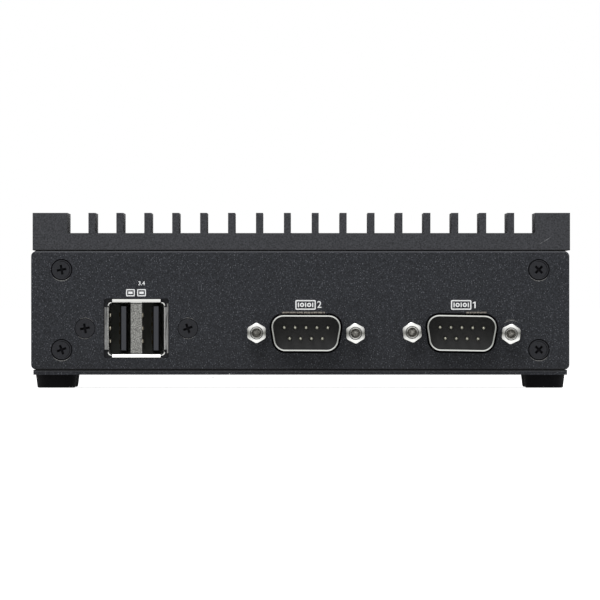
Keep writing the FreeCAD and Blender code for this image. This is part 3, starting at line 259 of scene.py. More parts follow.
def lock_plate_sheen():
    """Plated steel with painted light: bright above and below and greyer at the sides."""
    finish = Finish("lock_plate_sheen", colour(214, 214, 210), 0.3, 1.0)
    haze = finish.noise(0.9 * MM, 3.0, roughness=0.7)
    level = sheen_and_haze_from_the_middle(finish, haze, 2.6 * MM, 0.5)
    finish.base(finish.ramp(level, ((0.3, colour(116, 116, 112)), (0.95, colour(232, 232, 229)))))
    finish.bump(haze, 0.01 * MM, 0.4)
    return finish.material


def serial_shell_plate():
    """Nickel rim and wall, greyer at the sides with painted light, and painted shade on the flange behind the
    panel.
    """
    finish = Finish("serial_shell_plate", colour(214, 214, 210), 0.3, 1.0)
    haze = finish.noise(0.8 * MM, 3.0)
    level = sheen_and_haze_from_the_middle(finish, haze, 5.2 * MM, 0.3)
    plated = finish.ramp(level, ((0.6, colour(146, 147, 143)), (0.97, colour(204, 205, 201))))
    # painted shade darkens the flange behind the panel, seen in the gap of the cut-out
    finish.base(finish.mix(finish.above("Y", FACE_Y), plated, colour(10, 10, 11)))
    finish.bump(haze, 0.01 * MM, 0.4)
    return finish.material


def port_shell_plate():
    """Bright lips above and below in painted highlight, streaky lips at the sides greyer in painted shade
    with a painted glint on their inner bends, a grainy middle wall, and painted shade in the seams and
    inside.
    """
    low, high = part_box("usb_front_shell")
    centre, half_width, half_height = middle("usb_front_shell"), (high.x - low.x) / 2, (high.z - low.z) / 2
    wall_reach, bend_inset, bend_half_width = 2.2 * MM, 0.98 * MM, 0.14 * MM
    lip_width, seam_inset, lip_depth = 0.9 * MM, 1.12 * MM, 0.75 * MM
    finish = Finish("port_shell_plate", colour(222, 222, 218), 0.32, 1.0)
    streaks = finish.noise(0.4 * MM, 3.0, finish.mapping((2.0, 1, 0.12)), 0.8)
    grain = finish.noise(0.3 * MM, 1.0, roughness=0.7)
    # the side lips are streaked, and greyer than the end lips as painted shade
    lip = finish.ramp(streaks, ((0.4, colour(76, 76, 76)), (0.6, colour(132, 132, 131))))
    wall = finish.ramp(grain, ((0.3, colour(74, 74, 72)), (0.7, colour(152, 152, 148))))
    out, up = finish.away_from("X", centre.x), finish.away_from("Z", centre.z)
    at_middle = finish.math("LESS_THAN", out, wall_reach)
    # a painted glint along the inner bend of each side lip
    inner_bend_glint = finish.math("COMPARE", out, half_width - bend_inset)
    inner_bend_glint.node.inputs[2].default_value = bend_half_width
    lip = finish.mix(inner_bend_glint, lip, colour(206, 206, 203))
    at_end = finish.math("GREATER_THAN", up, half_height - lip_width)
    # painted shade in the seams next to the end lips
    at_seam = finish.math("GREATER_THAN", up, half_height - seam_inset)
    shade = finish.mix(at_seam, finish.mix(at_middle, lip, wall), colour(14, 14, 14))
    # painted highlight on the end lips, brighter on the lower one
    end_lip_highlight = finish.mix(finish.above("Z", centre.z), colour(232, 232, 229), colour(208, 208, 205))
    face = finish.mix(at_end, shade, end_lip_highlight)
    # painted shade inside the port: dark, and not metallic
    inside = finish.above("Y", low.y + lip_depth)
    finish.base(finish.mix(inside, face, colour(26, 27, 26)))
    finish.links.new(finish.math("SUBTRACT", 1.0, inside), finish.shader.inputs["Metallic"])
    return finish.material


def tongue_plastic():
    """Plastic that is grey at the tips of the tongues, in painted shade behind them and paler at the back."""
    tip_y, tip_depth, back_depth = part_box("usb_front_insulator")[0].y, 0.06 * MM, 1.5 * MM
    finish = Finish("tongue_plastic", colour(40, 40, 43), 0.6, specular=0.06)
    # painted shade on the tongues just behind their tips
    dark = finish.mix(finish.above("Y", tip_y + back_depth), colour(3, 3, 4), colour(104, 106, 102))
    finish.base(finish.mix(finish.below("Y", tip_y + tip_depth), dark, colour(62, 63, 67)))
    return finish.material


def zinc_steel():
    """Zinc plate with a broad haze."""
    finish = Finish("zinc_steel", colour(182, 184, 186), 0.4, 1.0)
    haze = finish.noise(1.5 * MM, 3.0)
    finish.base(finish.ramp(haze, ((0.3, colour(164, 166, 168)), (0.7, colour(196, 198, 200)))))
    return finish.material


def thread_steel():
    """Oiled thread with uneven light in it."""
    finish = Finish("thread_steel", colour(116, 114, 108), 0.45, 1.0)
    glints = finish.noise(0.7 * MM, 2.0)
    finish.base(finish.ramp(glints, ((0.35, colour(140, 138, 132)), (0.65, colour(214, 212, 205)))))
    return finish.material


def black_plastic(name="black_plastic"):
    """Moulded plastic with a fine grain."""
    finish = Finish(name, colour(30, 30, 31), 0.55, specular=0.25)
    finish.bump(finish.noise(0.25 * MM), 0.006 * MM, 0.4)
    return finish.material


def foot_rubber():
    """Matt black rubber."""
    finish = Finish("foot_rubber", colour(10, 10, 12), 0.75, specular=0.08)
    finish.bump(finish.noise(0.4 * MM), 0.01 * MM, 0.5)
    return finish.material


def board_laminate():
    """Green laminate, slightly mottled."""
    finish = Finish("board_laminate", colour(22, 74, 48), 0.35)
    mottle = finish.noise(2 * MM, 4.0)
    finish.base(finish.ramp(mottle, ((0.4, colour(18, 66, 42)), (0.6, colour(28, 84, 54)))))
    return finish.material


def plain(name, red, green, blue, roughness=0.5, metallic=0.0, specular=0.5):
    """One even colour."""
    return Finish(name, colour(red, green, blue), roughness, metallic, specular).material


def rubbed_coat_and_glint():
    """Broken pale grains in the colour of the coat: where the coat is rubbed thin, and as painted highlight
    on lit edges.
    """
    finish = Finish("rubbed_coat_and_glint", colour(80, 80, 80), 0.6, specular=0.2)
    grain = finish.noise(0.4 * MM, 2.0, roughness=0.8)
    finish.base(finish.ramp(grain, ((0.36, colour(48, 49, 51)), (0.6, colour(122, 122, 120)))))
    return finish.material


def bare_edge():
    """Sheared steel edge under a ragged coat."""
    finish = Finish("bare_edge", colour(120, 116, 110), 0.5, specular=0.2)
    grain = finish.noise(0.5 * MM, 2.0, roughness=0.8)
    finish.base(finish.ramp(grain, ((0.36, colour(52, 50, 50)), (0.56, colour(138, 132, 124)))))
    return finish.material


def recess_plastic():
    """Moulded face of a serial connector, with painted shade that deepens under the hood of its shell."""
    finish = Finish("recess_plastic", colour(36, 36, 36), 0.55, specular=0.25)
    face_height = 8.4 * MM
    foot = middle("com1_insulator").z - face_height / 2
    level = finish.math("MULTIPLY", finish.math("SUBTRACT", finish.part_of_place("Z"), foot), 1 / face_height)
    tones = ((0.05, colour(48, 48, 49)), (0.45, colour(35, 35, 35)), (0.9, colour(22, 22, 22)))
    finish.base(finish.ramp(level, tones))
    finish.bump(finish.noise(0.25 * MM), 0.006 * MM, 0.4)
    return finish.material


# Finishes by the record's material slots, then those of single nodes, then those of the new pieces

FINISHES = {
    "anodised_dark": anodised_aluminium(),
    "plain_aluminium": plain("plain_aluminium", 200, 201, 204, 0.35, 1.0),
    "powder_coat": powder_coat(),
    "foot_rubber": foot_rubber(),
    "black_plug": black_plastic("plug_plastic"),
    "black_screw": black_screw(),
    "zinc_steel": zinc_steel(),
    "nickel": nickel(),
    "brass_hex": plain("brass", 204, 172, 96, 0.35, 1.0),
    "gold_contact": plain("gold_contact", 214, 176, 98, 0.25, 1.0),
    "inlet_pin_metal": plain("pin_metal", 146, 145, 134, 0.38, 1.0),
    "black_plastic": black_plastic(),
    "grey_plastic": plain("grey_plastic", 60, 60, 64, specular=0.3),
    "button_plastic": plain("button_plastic", 26, 26, 28, 0.35, specular=0.35),
    "board_laminate": board_laminate(),
    "chip_package": plain("chip_package", 26, 26, 28),
    "soft_pad": plain("soft_pad", 140, 143, 152, 0.8),
    "cell_steel": plain("cell_steel", 192, 192, 190, 0.3, 1.0),
    "can_aluminium": plain("can_aluminium", 190, 190, 194, 0.35, 1.0),
    "lead_jacket": plain("lead_jacket", 128, 128, 132),
}
OWN_FINISHES = {
    "front_panel": powder_coat("front_panel_coat", panel_edge),
    "bottom_cover": powder_coat("bottom_cover_coat", cover_edge),
    "com1_shell": serial_shell_plate(),
    "usb_front_shell": port_shell_plate(),
    "usb_front_insulator": tongue_plastic(),
    "usb_front_contacts": plain("shaded_contact", 44, 36, 22, 0.5, 1.0),
}
OWN_FINISHES["com2_shell"] = OWN_FINISHES["com1_shell"]
INK = plain("print_ink", 222, 223, 224, 0.6, specular=0.2)
RUBBED_COAT_AND_GLINT = rubbed_coat_and_glint()
# painted shade for the crosses of screw recesses
RECESS_SHADE = plain("recess_shade_black", 23, 23, 25, 0.8, specular=0.0)
RECESS_PLASTIC = recess_plastic()
SHADE = plain("shade_black", 6, 6, 7, 0.8, specular=0.0)
BARE_EDGE = bare_edge()
THREAD = thread_steel()
LOCK_PLATE_SHEEN = lock_plate_sheen()
SPRING_PLATE = plain("spring_plate", 168, 163, 148, 0.3, 1.0)
NICK = plain("bright_nick", 190, 190, 188)
PALE_SCRATCH = plain("pale_scratch", 92, 93, 95)

for part in frame["record"]["subparts"]:
    for slot in frame["nodes"][part["node"]].material_slots:
        slot.material = OWN_FINISHES.get(part["node"], FINISHES[part["material_slot"]])


# New pieces: each is a bmesh whose place is in its vertices

def piece(name, mesh, slot, material=None, smooth=30.0):
    """An object of the case, made from a bmesh. Edges sharper than smooth, in degrees, stay crisp."""
    data = bpy.data.meshes.new(name)
    bmesh.ops.recalc_face_normals(mesh, faces=mesh.faces)
    mesh.to_mesh(data)
    mesh.free()
    thing = bpy.data.objects.new(name, data)
    bpy.context.scene.collection.objects.link(thing)
    data.materials.append(material or FINISHES[slot])
    if smooth:
        data.shade_smooth()
        data.set_sharp_from_angle(angle=math.radians(smooth))
    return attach(thing, "case")


def facing(spot, toward, twist=0.0):
    """The move that takes what looks up at the origin to a spot, looking toward a side, with a twist."""
    turn = Vector(UP).rotation_difference(Vector(toward)).to_matrix().to_4x4()
    return Matrix.Translation(spot) @ turn @ Matrix.Rotation(math.radians(twist), 4, "Z")


def turned(outline, spot, toward, sides):
    """An outline of (radius, height) points, turned about an axis through a spot."""
    mesh = bmesh.new()
    points = [mesh.verts.new((radius, 0, height)) for radius, height in outline]
    edges = [mesh.edges.new(pair) for pair in zip(points, points[1:])]
    bmesh.ops.spin(mesh, geom=points + edges, axis=UP, cent=(0, 0, 0), angle=math.tau,
                   steps=sides, use_merge=True, use_duplicate=False)
    bmesh.ops.remove_doubles(mesh, verts=mesh.verts, dist=SAME_SPOT)
    bmesh.ops.transform(mesh, matrix=facing(spot, toward), verts=mesh.verts)
    return mesh


def join(target, source):
    """Adds one bmesh to another."""
    holder = bpy.data.meshes.new("holder")
    source.to_mesh(holder)
    source.free()
    target.from_mesh(holder)
    bpy.data.meshes.remove(holder)


def thickened(mesh, lift):
    """Makes flat faces solid: a copy of them is lifted and the walls between are closed."""
    lifted = bmesh.ops.extrude_face_region(mesh, geom=mesh.faces[:])
    moved = [item for item in lifted["geom"] if isinstance(item, bmesh.types.BMVert)]
    bmesh.ops.translate(mesh, vec=lift, verts=moved)
    return mesh


def raise_from_face(mesh, height=MARK_THICKNESS):
    """Gives flat upright faces a thickness towards the front."""
    return thickened(mesh, (0, -height, 0))


def rim_of(mesh, face, width):
    """Leaves only a rim of a face, of that width along its edge."""
    mesh.normal_update()
    bmesh.ops.inset_region(mesh, faces=[face], thickness=width, use_boundary=True, use_even_offset=True)
    bmesh.ops.delete(mesh, geom=[face], context="FACES")


def bar(mesh, left, right, low, high):
    """A filled upright rectangle."""
    corners = [mesh.verts.new((x, 0, z)) for x, z in ((left, low), (right, low), (right, high), (left, high))]
    return mesh.faces.new(corners)


# How each serial port settled in its hole when it was screwed down: a slip sideways and a tilt.
SETTLED = {"com1": (-0.16 * MM, 0.93), "com2": (0.0, 0.25)}


def settle(mesh, port):
    """Slips and tilts what belongs to a serial port about the middle of its connector."""
    slip, tilt = SETTLED[port]
    turn = Matrix.Rotation(math.radians(tilt), 3, "Y")
    bmesh.ops.rotate(mesh, cent=middle(port + "_shell"), matrix=turn, verts=mesh.verts)
    bmesh.ops.translate(mesh, vec=(slip, 0, 0), verts=mesh.verts)
    return mesh


def dee_face(mesh, grow, y, centre):
    """A flat D outline with rounded corners, wide side up, grown outwards all round."""
    lean, height, half_top, foot_radius, top_radius = 10, 9.02 * MM, 9.28 * MM, 2.8 * MM, 3.05 * MM
    slope, stretch = math.tan(math.radians(lean)), 1 / math.cos(math.radians(lean))
    top = half_top + grow * (stretch + slope)
    foot = half_top - height * slope + grow * (stretch - slope)
    half = height / 2 + grow
    corners = ((-foot, -half), (foot, -half), (top, half), (-top, half))
    points = [mesh.verts.new((x, 0, z)) for x, z in corners]
    mesh.faces.new(points)
    for pair, angle, radius in ((points[:2], 90 + lean, foot_radius), (points[2:], 90 - lean, top_radius)):
        reach = (radius + grow) / math.tan(math.radians(angle / 2))
        bmesh.ops.bevel(mesh, geom=pair, offset=reach, segments=10, profile=0.5, affect="VERTICES",
                        material=-1)
    bmesh.ops.translate(mesh, vec=(centre.x, y, centre.z), verts=mesh.verts)
    return max(mesh.faces, key=lambda item: item.calc_area())


def add_serial_shell(port):
    """The D-shaped shell with its flange, the face of the insulator and the shade in the cut-out."""
    wall, flange_thickness, insulator_fit = 0.31 * MM, 0.8 * MM, 0.3 * MM
    shade_reach, shade_width = 0.52 * MM, 0.57 * MM
    low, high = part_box(port + "_shell")
    centre = middle(port + "_shell")

    shell = bmesh.new()
    rim_of(shell, dee_face(shell, 0.0, low.y, centre), wall)
    thickened(shell, (0, high.y - low.y, 0))
    flange = bmesh.new()
    bar(flange, low.x, high.x, low.z, high.z)
    bmesh.ops.translate(flange, vec=(0, high.y, 0), verts=flange.verts)
    join(shell, raise_from_face(flange, flange_thickness))
    thing = piece(port + "_dee_shell", settle(shell, port), "nickel", OWN_FINISHES["com1_shell"], smooth=35)
    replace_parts(thing, port + "_shell")

    insulator = bmesh.new()
    dee_face(insulator, -insulator_fit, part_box(port + "_insulator")[0].y, centre)
    settle(raise_from_face(insulator), port)
    piece(port + "_insulator_face", insulator, "black_plastic", RECESS_PLASTIC, smooth=0)

    shade = bmesh.new()
    rim_of(shade, dee_face(shade, shade_reach, FACE_Y, centre), shade_width)
    settle(raise_from_face(shade), port)
    piece(port + "_cutout_shade", shade, "powder_coat", SHADE, smooth=0)


def add_serial_pins(port):
    """Nine pins with rounded tips: five above, and four below that stand half a pitch aside."""
    low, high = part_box(port + "_pins")
    inset, radius, tip, half_pitches = 0.5 * MM, 0.47 * MM, 0.5 * MM, 8
    length, half_pitch = high.y - low.y, (high.x - low.x - 2 * inset) / half_pitches
    upper = [(step, high.z - inset) for step in range(0, half_pitches + 1, 2)]
    lower = [(step, low.z + inset) for step in range(1, half_pitches, 2)]
    outline = [(0, length), (radius * 0.35, length - tip * 0.04), (radius * 0.7, length - tip * 0.3),
               (radius, length - tip), (radius, 0)]
    pins = bmesh.new()
    for step, level in upper + lower:
        spot = Vector((low.x + inset + step * half_pitch, high.y, level))
        join(pins, turned(outline, spot, FRONT, 24))
    settle(pins, port)
    thing = piece(port + "_round_pins", pins, "gold_contact", FINISHES["inlet_pin_metal"], smooth=60)
    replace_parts(thing, port + "_pins")


def hex_loop(mesh, flats, corner, height_at):
    """A closed loop on a hexagon with rounded corners, at a height that depends on the reach."""
    loop = bmesh.ops.create_circle(mesh, segments=LOCK_SIDES, radius=1.0)["verts"]
    for vert in loop:
        angle = math.atan2(vert.co.y, vert.co.x)
        lean = (angle + math.tau / 12) % (math.tau / 6) - math.tau / 12
        reach = min(flats / 2 / math.cos(lean), corner)
        vert.co = vert.co * reach + Vector((0, 0, height_at(reach)))
    return list(dict.fromkeys(edge for vert in loop for edge in vert.link_edges))


def hex_lock(spot, proud, twist):
    """A hexagonal screw-lock: rounded corners, a turned front and a groove round its bore."""
    flats, corner, face, sharp_step = 4.6 * MM, 2.53 * MM, 2.15 * MM, 0.05 * MM
    slope = math.tan(math.radians(30))
    mesh = bmesh.new()
    back = hex_loop(mesh, flats, corner, lambda reach: 0.0)
    shoulder = hex_loop(mesh, flats, corner, lambda reach: proud - (reach - face) * slope - sharp_step)
    rim = hex_loop(mesh, 2 * face, face, lambda reach: proud)
    for near, far in ((back, shoulder), (shoulder, rim)):
        bmesh.ops.bridge_loops(mesh, edges=near + far)
    groove = proud - LOCK_GROOVE_DEPTH
    # inwards from the turned face: a groove, a narrow land and the mouth of the bore
    outline = [(face, proud), (1.66 * MM, proud), (1.6 * MM, groove), (1.46 * MM, groove),
               (1.4 * MM, proud), (1.3 * MM, proud), (LOCK_MOUTH_RADIUS, groove)]
    join(mesh, turned(outline, Vector((0, 0, 0)), UP, LOCK_SIDES))
    bmesh.ops.remove_doubles(mesh, verts=mesh.verts, dist=SAME_SPOT)
    bmesh.ops.transform(mesh, matrix=facing(spot, FRONT, twist), verts=mesh.verts)
    return mesh


def lock_bore(spot, proud):
    """The thread inside a screw-lock, down to the end of its bore."""
    root, crest, pitch, length, cone = 1.38 * MM, 1.12 * MM, 0.5 * MM, 3.5 * MM, 0.3 * MM
    level = proud - LOCK_GROOVE_DEPTH
    outline = [(LOCK_MOUTH_RADIUS, level)]
    for _ in range(round(length / pitch)):
        outline += [(root, level - pitch / 2), (crest, level - pitch)]
        level -= pitch
    outline.append((0.0, level - cone))
    return turned(outline, spot, FRONT, 40)


def add_screwlocks(port, twists):
    """The pair of screw-locks beside a serial connector, each turned as it was left."""
    front_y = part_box(port + "_screwlocks")[0].y
    centre = Vector((middle(port + "_screwlocks").x, FACE_Y, middle(port + "_shell").z))
    locks, bores, groove_shadows = bmesh.new(), bmesh.new(), bmesh.new()
    for side, twist in zip((-1, 1), twists):
        spot = centre + Vector((side * LOCK_SPACING / 2, 0, 0))
        join(locks, hex_lock(spot, FACE_Y - front_y, twist))
        join(bores, lock_bore(spot, FACE_Y - front_y))
        # a ring of painted shade in the groove round each bore
        join(groove_shadows, arc_band(spot.x, spot.z, 1.53, 0.1, y=front_y + LOCK_GROOVE_DEPTH, steps=48))
    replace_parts(piece(port + "_hex_locks", settle(locks, port), "nickel", LOCK_PLATE_SHEEN), port + "_screwlocks")
    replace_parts(piece(port + "_lock_threads", settle(bores, port), "nickel", THREAD), port + "_screwlocks")
    piece(port + "_lock_groove_shadows", settle(groove_shadows, port), "nickel", SHADE, smooth=0)


def add_feet():
    """Rubber feet that narrow downwards, with a rounded lower edge."""
    draft, rounding = 0.35 * MM, 0.5 * MM
    quarter = [math.radians(angle) for angle in range(0, 91, 18)]
    for end in ("front", "rear"):
        for side in ("left", "right"):
            node = f"foot_{end}_{side}"
            low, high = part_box(node)
            wide, tall = (high.x - low.x) / 2, high.z - low.z
            inner = wide - draft - rounding
            outline = [(0, 0)]
            for angle in quarter:
                outline.append((inner + rounding * math.sin(angle), rounding * (1 - math.cos(angle))))
            outline += [(wide, tall), (0, tall)]
            centre = middle(node)
            mesh = turned(outline, Vector((centre.x, centre.y, low.z)), UP, 64)
            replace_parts(piece(node + "_rounded", mesh, "foot_rubber", smooth=50), node)


def add_port_springs():
    """The small sprung fingers that stand in from the left wall of each front USB port."""
    depth, half_width, half_length, half_height = 2.2 * MM, 0.36 * MM, 0.9 * MM, 0.75 * MM
    springs = bmesh.new()
    centre, mouth = middle("usb_front_shell"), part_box("usb_front_shell")[0].y
    for x in (-6.62, 1.56):
        for z in (3.3, 0.0, -3.3):
            spot = Vector((centre.x + x * MM, mouth + depth, centre.z + z * MM))
            shape = Matrix.Translation(spot) @ Matrix.Diagonal((half_width, half_length, half_height, 1))
            bmesh.ops.create_uvsphere(springs, u_segments=16, v_segments=10, radius=1.0, matrix=shape)
    piece("usb_port_springs", springs, "nickel", SPRING_PLATE, smooth=60)


def arc_band(x, z, radius, width, start=0.0, end=360.0, y=FACE_Y, steps=28, height=MARK_THICKNESS):
    """A thin curved band on a face that looks to the front, with pinched ends if it isn't a whole ring.

    The radius and width are in millimetres, and the angles start at +X and grow towards +Z.
    """
    pinch = 0.02
    mesh = bmesh.new()
    inner, outer = [mesh.verts.new((radius + side * width / 2, 0, 0)) for side in (-1, 1)]
    sweep, whole = math.radians(end - start), end - start >= 360
    bmesh.ops.spin(mesh, geom=[inner, outer, mesh.edges.new((inner, outer))], axis=FRONT, cent=(0, 0, 0),
                   angle=sweep, steps=steps, use_merge=whole, use_duplicate=False)
    if not whole:
        for vert in mesh.verts:
            along = math.atan2(vert.co.z, vert.co.x) % math.tau / sweep
            taper = math.sin(math.pi * min(max(along, pinch), 1 - pinch)) ** 0.5
            reach = vert.co.length
            vert.co *= (radius + (reach - radius) * taper) / reach
    turn = Matrix.Rotation(math.radians(start), 4, Vector(FRONT))
    place = Matrix.Translation((x, y, z)) @ turn @ Matrix.Scale(MM, 4)
    bmesh.ops.transform(mesh, matrix=place, verts=mesh.verts)
    return raise_from_face(mesh, height)


def corner_screws(node, up):
    """The middles of the four screw heads of a node, each as its places along X and along one more axis."""
    low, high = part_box(node)
    columns = (low.x + SCREW_HEAD_RADIUS, high.x - SCREW_HEAD_RADIUS)
    rows = (low[up] + SCREW_HEAD_RADIUS, high[up] - SCREW_HEAD_RADIUS)
    return [(column, row) for column in columns for row in rows]


def usb_screws():
    """The middles of the two screw heads beside the front USB port, as their places along X and Z."""
    low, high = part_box("usb_bracket_screws")
    level = middle("usb_bracket_screws").z
    return [(low.x + SCREW_HEAD_RADIUS, level), (high.x - SCREW_HEAD_RADIUS, level)]


def add_screw_rings():
    """The shadow round each screw head, and on the front the lit edges of the countersinks."""
    shadows, edges = bmesh.new(), bmesh.new()
    # the corner screws sit deepest: the gap round the head, the head's shaded side and the lit lower edge
    head_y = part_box("front_panel_screws")[0].y
    for x, z in corner_screws("front_panel_screws", Z):
        join(shadows, arc_band(x, z, 2.58, 0.26, steps=48))
        join(shadows, arc_band(x, z, 2.1, 0.14, -70, 110, y=head_y))
        join(edges, arc_band(x, z, 2.82, 0.2, -140, -40))
    # round the USB screws: painted shade at the head and painted highlights on the countersink above and
    # below
    for x, z in usb_screws():
        join(shadows, arc_band(x, z, 2.5, 0.09, steps=48))
        join(edges, arc_band(x, z, 2.64, 0.1, 40, 120))
        join(edges, arc_band(x, z, 2.64, 0.1, -130, -50))
    rear_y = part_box("rear_panel_screws")[1].y
    for x, z in corner_screws("rear_panel_screws", Z):
        join(shadows, arc_band(x, z, 2.5, 0.12, y=rear_y, steps=48, height=-MARK_THICKNESS))
    bottom_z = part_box("bottom_cover_screws")[0].z
    for x, y in corner_screws("bottom_cover_screws", Y):
        band = arc_band(0, 0, 2.5, 0.12, y=0.0, steps=48)
        turn = Matrix.Translation((x, y, bottom_z)) @ Matrix.Rotation(math.pi / 2, 4, "X")
        bmesh.ops.transform(band, matrix=turn, verts=band.verts)
        join(shadows, band)
    piece("countersink_shadows", shadows, "powder_coat", SHADE, smooth=0)
    # the lit edges are painted highlights in pale coat grains
    piece("countersink_glints", edges, "powder_coat", RUBBED_COAT_AND_GLINT, smooth=0)


def add_rub_marks():
    """Rubbed arcs in the coat: two over a screw-lock, and one at the lower right of the USB port."""
    marks = bmesh.new()
    lock = middle("com1_shell") + Vector((LOCK_SPACING / 2, 0, 0))
    join(marks, arc_band(lock.x, lock.z, 3.2, 0.16, 62, 130))
    join(marks, arc_band(lock.x, lock.z, 3.5, 0.12, 78, 118))
    hub = middle("usb_front_shell") + Vector((18.0 * MM, 0, -6.6 * MM))
    join(marks, arc_band(hub.x, hub.z, 6.0, 0.12, -115, -62))
    piece("panel_rub_marks", marks, "powder_coat", RUBBED_COAT_AND_GLINT, smooth=0)


def add_cutout_edges():
    """Bare edges of sheet that show above the serial connectors, each in a row of short strips."""
    count, gap, low, high = 6, 0.15 * MM, 5.03 * MM, 5.4 * MM
    edges = bmesh.new()
    for port, left, right in (("com2", -6.0 * MM, 4.9 * MM), ("com1", 1.0 * MM, 6.2 * MM)):
        centre, length = middle(port + "_shell"), (right - left) / count
        for step in range(count):
            start = left + length * step
            strip = bmesh.new()
            bar(strip, start, start + length - gap, low, high)
            bmesh.ops.translate(strip, vec=(centre.x, FACE_Y, centre.z), verts=strip.verts)
            join(edges, raise_from_face(strip))
    piece("cutout_edges", edges, "powder_coat", BARE_EDGE, smooth=0)


def add_port_corners():
    """The rounded corners of the front USB shell, which catch the light, and the strip of its right lip."""
    out, upper, lower, half_sweep, bend_depth = 6.27 * MM, 5.66 * MM, 5.94 * MM, 46, 0.12 * MM
    strip_inset, strip_width, strip_half_length, strip_depth = 0.02 * MM, 0.32 * MM, 6.3 * MM, 0.04 * MM
    radius, width = 0.86, 0.24
    bends = bmesh.new()
    low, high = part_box("usb_front_shell")
    centre = middle("usb_front_shell")
    for side in (-1, 1):
        for way, up in ((-1, lower), (1, upper)):
            x, z = centre.x + side * out, centre.z + way * up
            aim = math.degrees(math.atan2(way, side))
            join(bends, arc_band(x, z, radius, width, aim - half_sweep, aim + half_sweep,
                                 y=low.y + bend_depth, steps=16))
    piece("port_corner_bends", bends, "nickel", FINISHES["nickel"], smooth=0)
    strip = bmesh.new()
    edge_x = high.x - strip_inset
    bar(strip, edge_x - strip_width, edge_x, centre.z - strip_half_length, centre.z + strip_half_length)
    bmesh.ops.translate(strip, vec=(0, low.y + strip_depth, 0), verts=strip.verts)
    piece("port_side_strip", raise_from_face(strip), "nickel", OWN_FINISHES["usb_front_shell"], smooth=0)


def cross_inlay(mesh, spot, toward, twist, reach=1.25, half=0.3):
    """The cross of a recess in painted shade, tapered to its ends. The reach and half width are in
    millimetres.
    """
    taper = 0.3
    inlay = bmesh.new()
    made = bmesh.ops.create_grid(inlay, x_segments=1, y_segments=1, size=half * MM)
    for face in made["verts"][0].link_faces[:]:
        for edge in face.edges[:]:
            out = (edge.verts[0].co + edge.verts[1].co).normalized()
            arm = bmesh.ops.extrude_edge_only(inlay, edges=[edge])
            tip = [item for item in arm["geom"] if isinstance(item, bmesh.types.BMVert)]
            bmesh.ops.translate(inlay, vec=out * (reach - half) * MM, verts=tip)
            for vert in tip:
                side = vert.co - out * vert.co.dot(out)
                vert.co -= side * taper
    thickened(inlay, (0, 0, MARK_THICKNESS))
    bmesh.ops.transform(inlay, matrix=facing(spot, toward, twist), verts=inlay.verts)
    join(mesh, inlay)


def add_screw_crosses():
    """Painted shade in the crosses of the front screws, and crosses in painted shade on the rear and bottom
    screws.
    """
    recess_y = FACE_Y + 0.6 * MM
    rear_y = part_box("rear_panel_screws")[1].y
    bottom_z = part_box("bottom_cover_screws")[0].z
    crosses = bmesh.new()
    front_screws = corner_screws("front_panel_screws", Z) + usb_screws()
    for (x, z), twist in zip(front_screws, (20, 10, 45, 45, 10, 20)):
        cross_inlay(crosses, Vector((x, recess_y, z)), FRONT, twist, 1.1, 0.32)
    for (x, z), twist in zip(corner_screws("rear_panel_screws", Z), (25, 5, 50, 38)):
        cross_inlay(crosses, Vector((x, rear_y, z)), REAR, twist)
    for (x, y), twist in zip(corner_screws("bottom_cover_screws", Y), (12, 30, 47, 70)):
        cross_inlay(crosses, Vector((x, y, bottom_z)), DOWN, twist)
    piece("screw_crosses", crosses, "black_screw", RECESS_SHADE, smooth=0)


def add_cover_nick():
    """A bright nick on the front edge of the bottom cover."""
    left, right, under_top, height, proud = -18.0 * MM, -17.75 * MM, 0.9 * MM, 0.45 * MM, 0.04 * MM
    low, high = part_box("bottom_cover")
    top = high.z - under_top
    nick = bmesh.new()
    bar(nick, left, right, top - height, top)
    bmesh.ops.translate(nick, vec=(0, low.y, 0), verts=nick.verts)
    piece("cover_nick", raise_from_face(nick, proud), "powder_coat", NICK, smooth=0)


def add_scratch():
    """A pale scratch on the right end of the heat sink, in two strokes that end in points."""
    strokes = bmesh.new()
    face_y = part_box("heatsink")[0].y
    lower = (Vector((60.3, 0, 36.25)), Vector((61.5, 0, 36.95)), 0.14)
    upper = (Vector((61.2, 0, 36.75)), Vector((63.5, 0, 38.15)), 0.2)
    for start, end, width in (lower, upper):
        along = (end - start).normalized()
        across = Vector((-along.z, 0, along.x)) * width / 2
        corners = [start, (start + end) / 2 - across, end, (start + end) / 2 + across]
        stroke = bmesh.new()
        stroke.faces.new([stroke.verts.new(corner) for corner in corners])
        bmesh.ops.scale(stroke, vec=(MM, MM, MM), verts=stroke.verts)
        bmesh.ops.translate(stroke, vec=(0, face_y, 0), verts=stroke.verts)
        join(strokes, raise_from_face(stroke))
    piece("heatsink_scratch", strokes, "anodised_dark", PALE_SCRATCH, smooth=0)


def flat_print(name, make, x, z):
    """A thin printed mark on the front panel, drawn by make(mesh) in millimetres across and up."""
    mark = bmesh.new()
    make(mark)
    bmesh.ops.scale(mark, vec=(MM, MM, MM), verts=mark.verts)
    raise_from_face(mark)
    bmesh.ops.translate(mark, vec=(x, FACE_Y, z), verts=mark.verts)
    return piece(name, mark, "powder_coat", INK, smooth=0)


def outline_box(mesh, width, height, line, corner):
    """A rectangle drawn as a line of that width, with rounded corners."""
    face = bar(mesh, -width / 2, width / 2, -height / 2, height / 2)
    bmesh.ops.bevel(mesh, geom=face.verts[:], offset=corner, segments=4, profile=0.5, affect="VERTICES",
                    material=-1)
    rim_of(mesh, max(mesh.faces, key=lambda item: item.calc_area()), line)


def ring(mesh, x, z, outer, line):
    """A ring drawn as a line of that width."""
    place = Matrix.Translation((x, 0, z)) @ Matrix.Rotation(math.pi / 2, 4, "X")
    made = bmesh.ops.create_circle(mesh, cap_ends=True, segments=24, radius=outer, matrix=place)
    rim_of(mesh, made["verts"][0].link_faces[0], line)


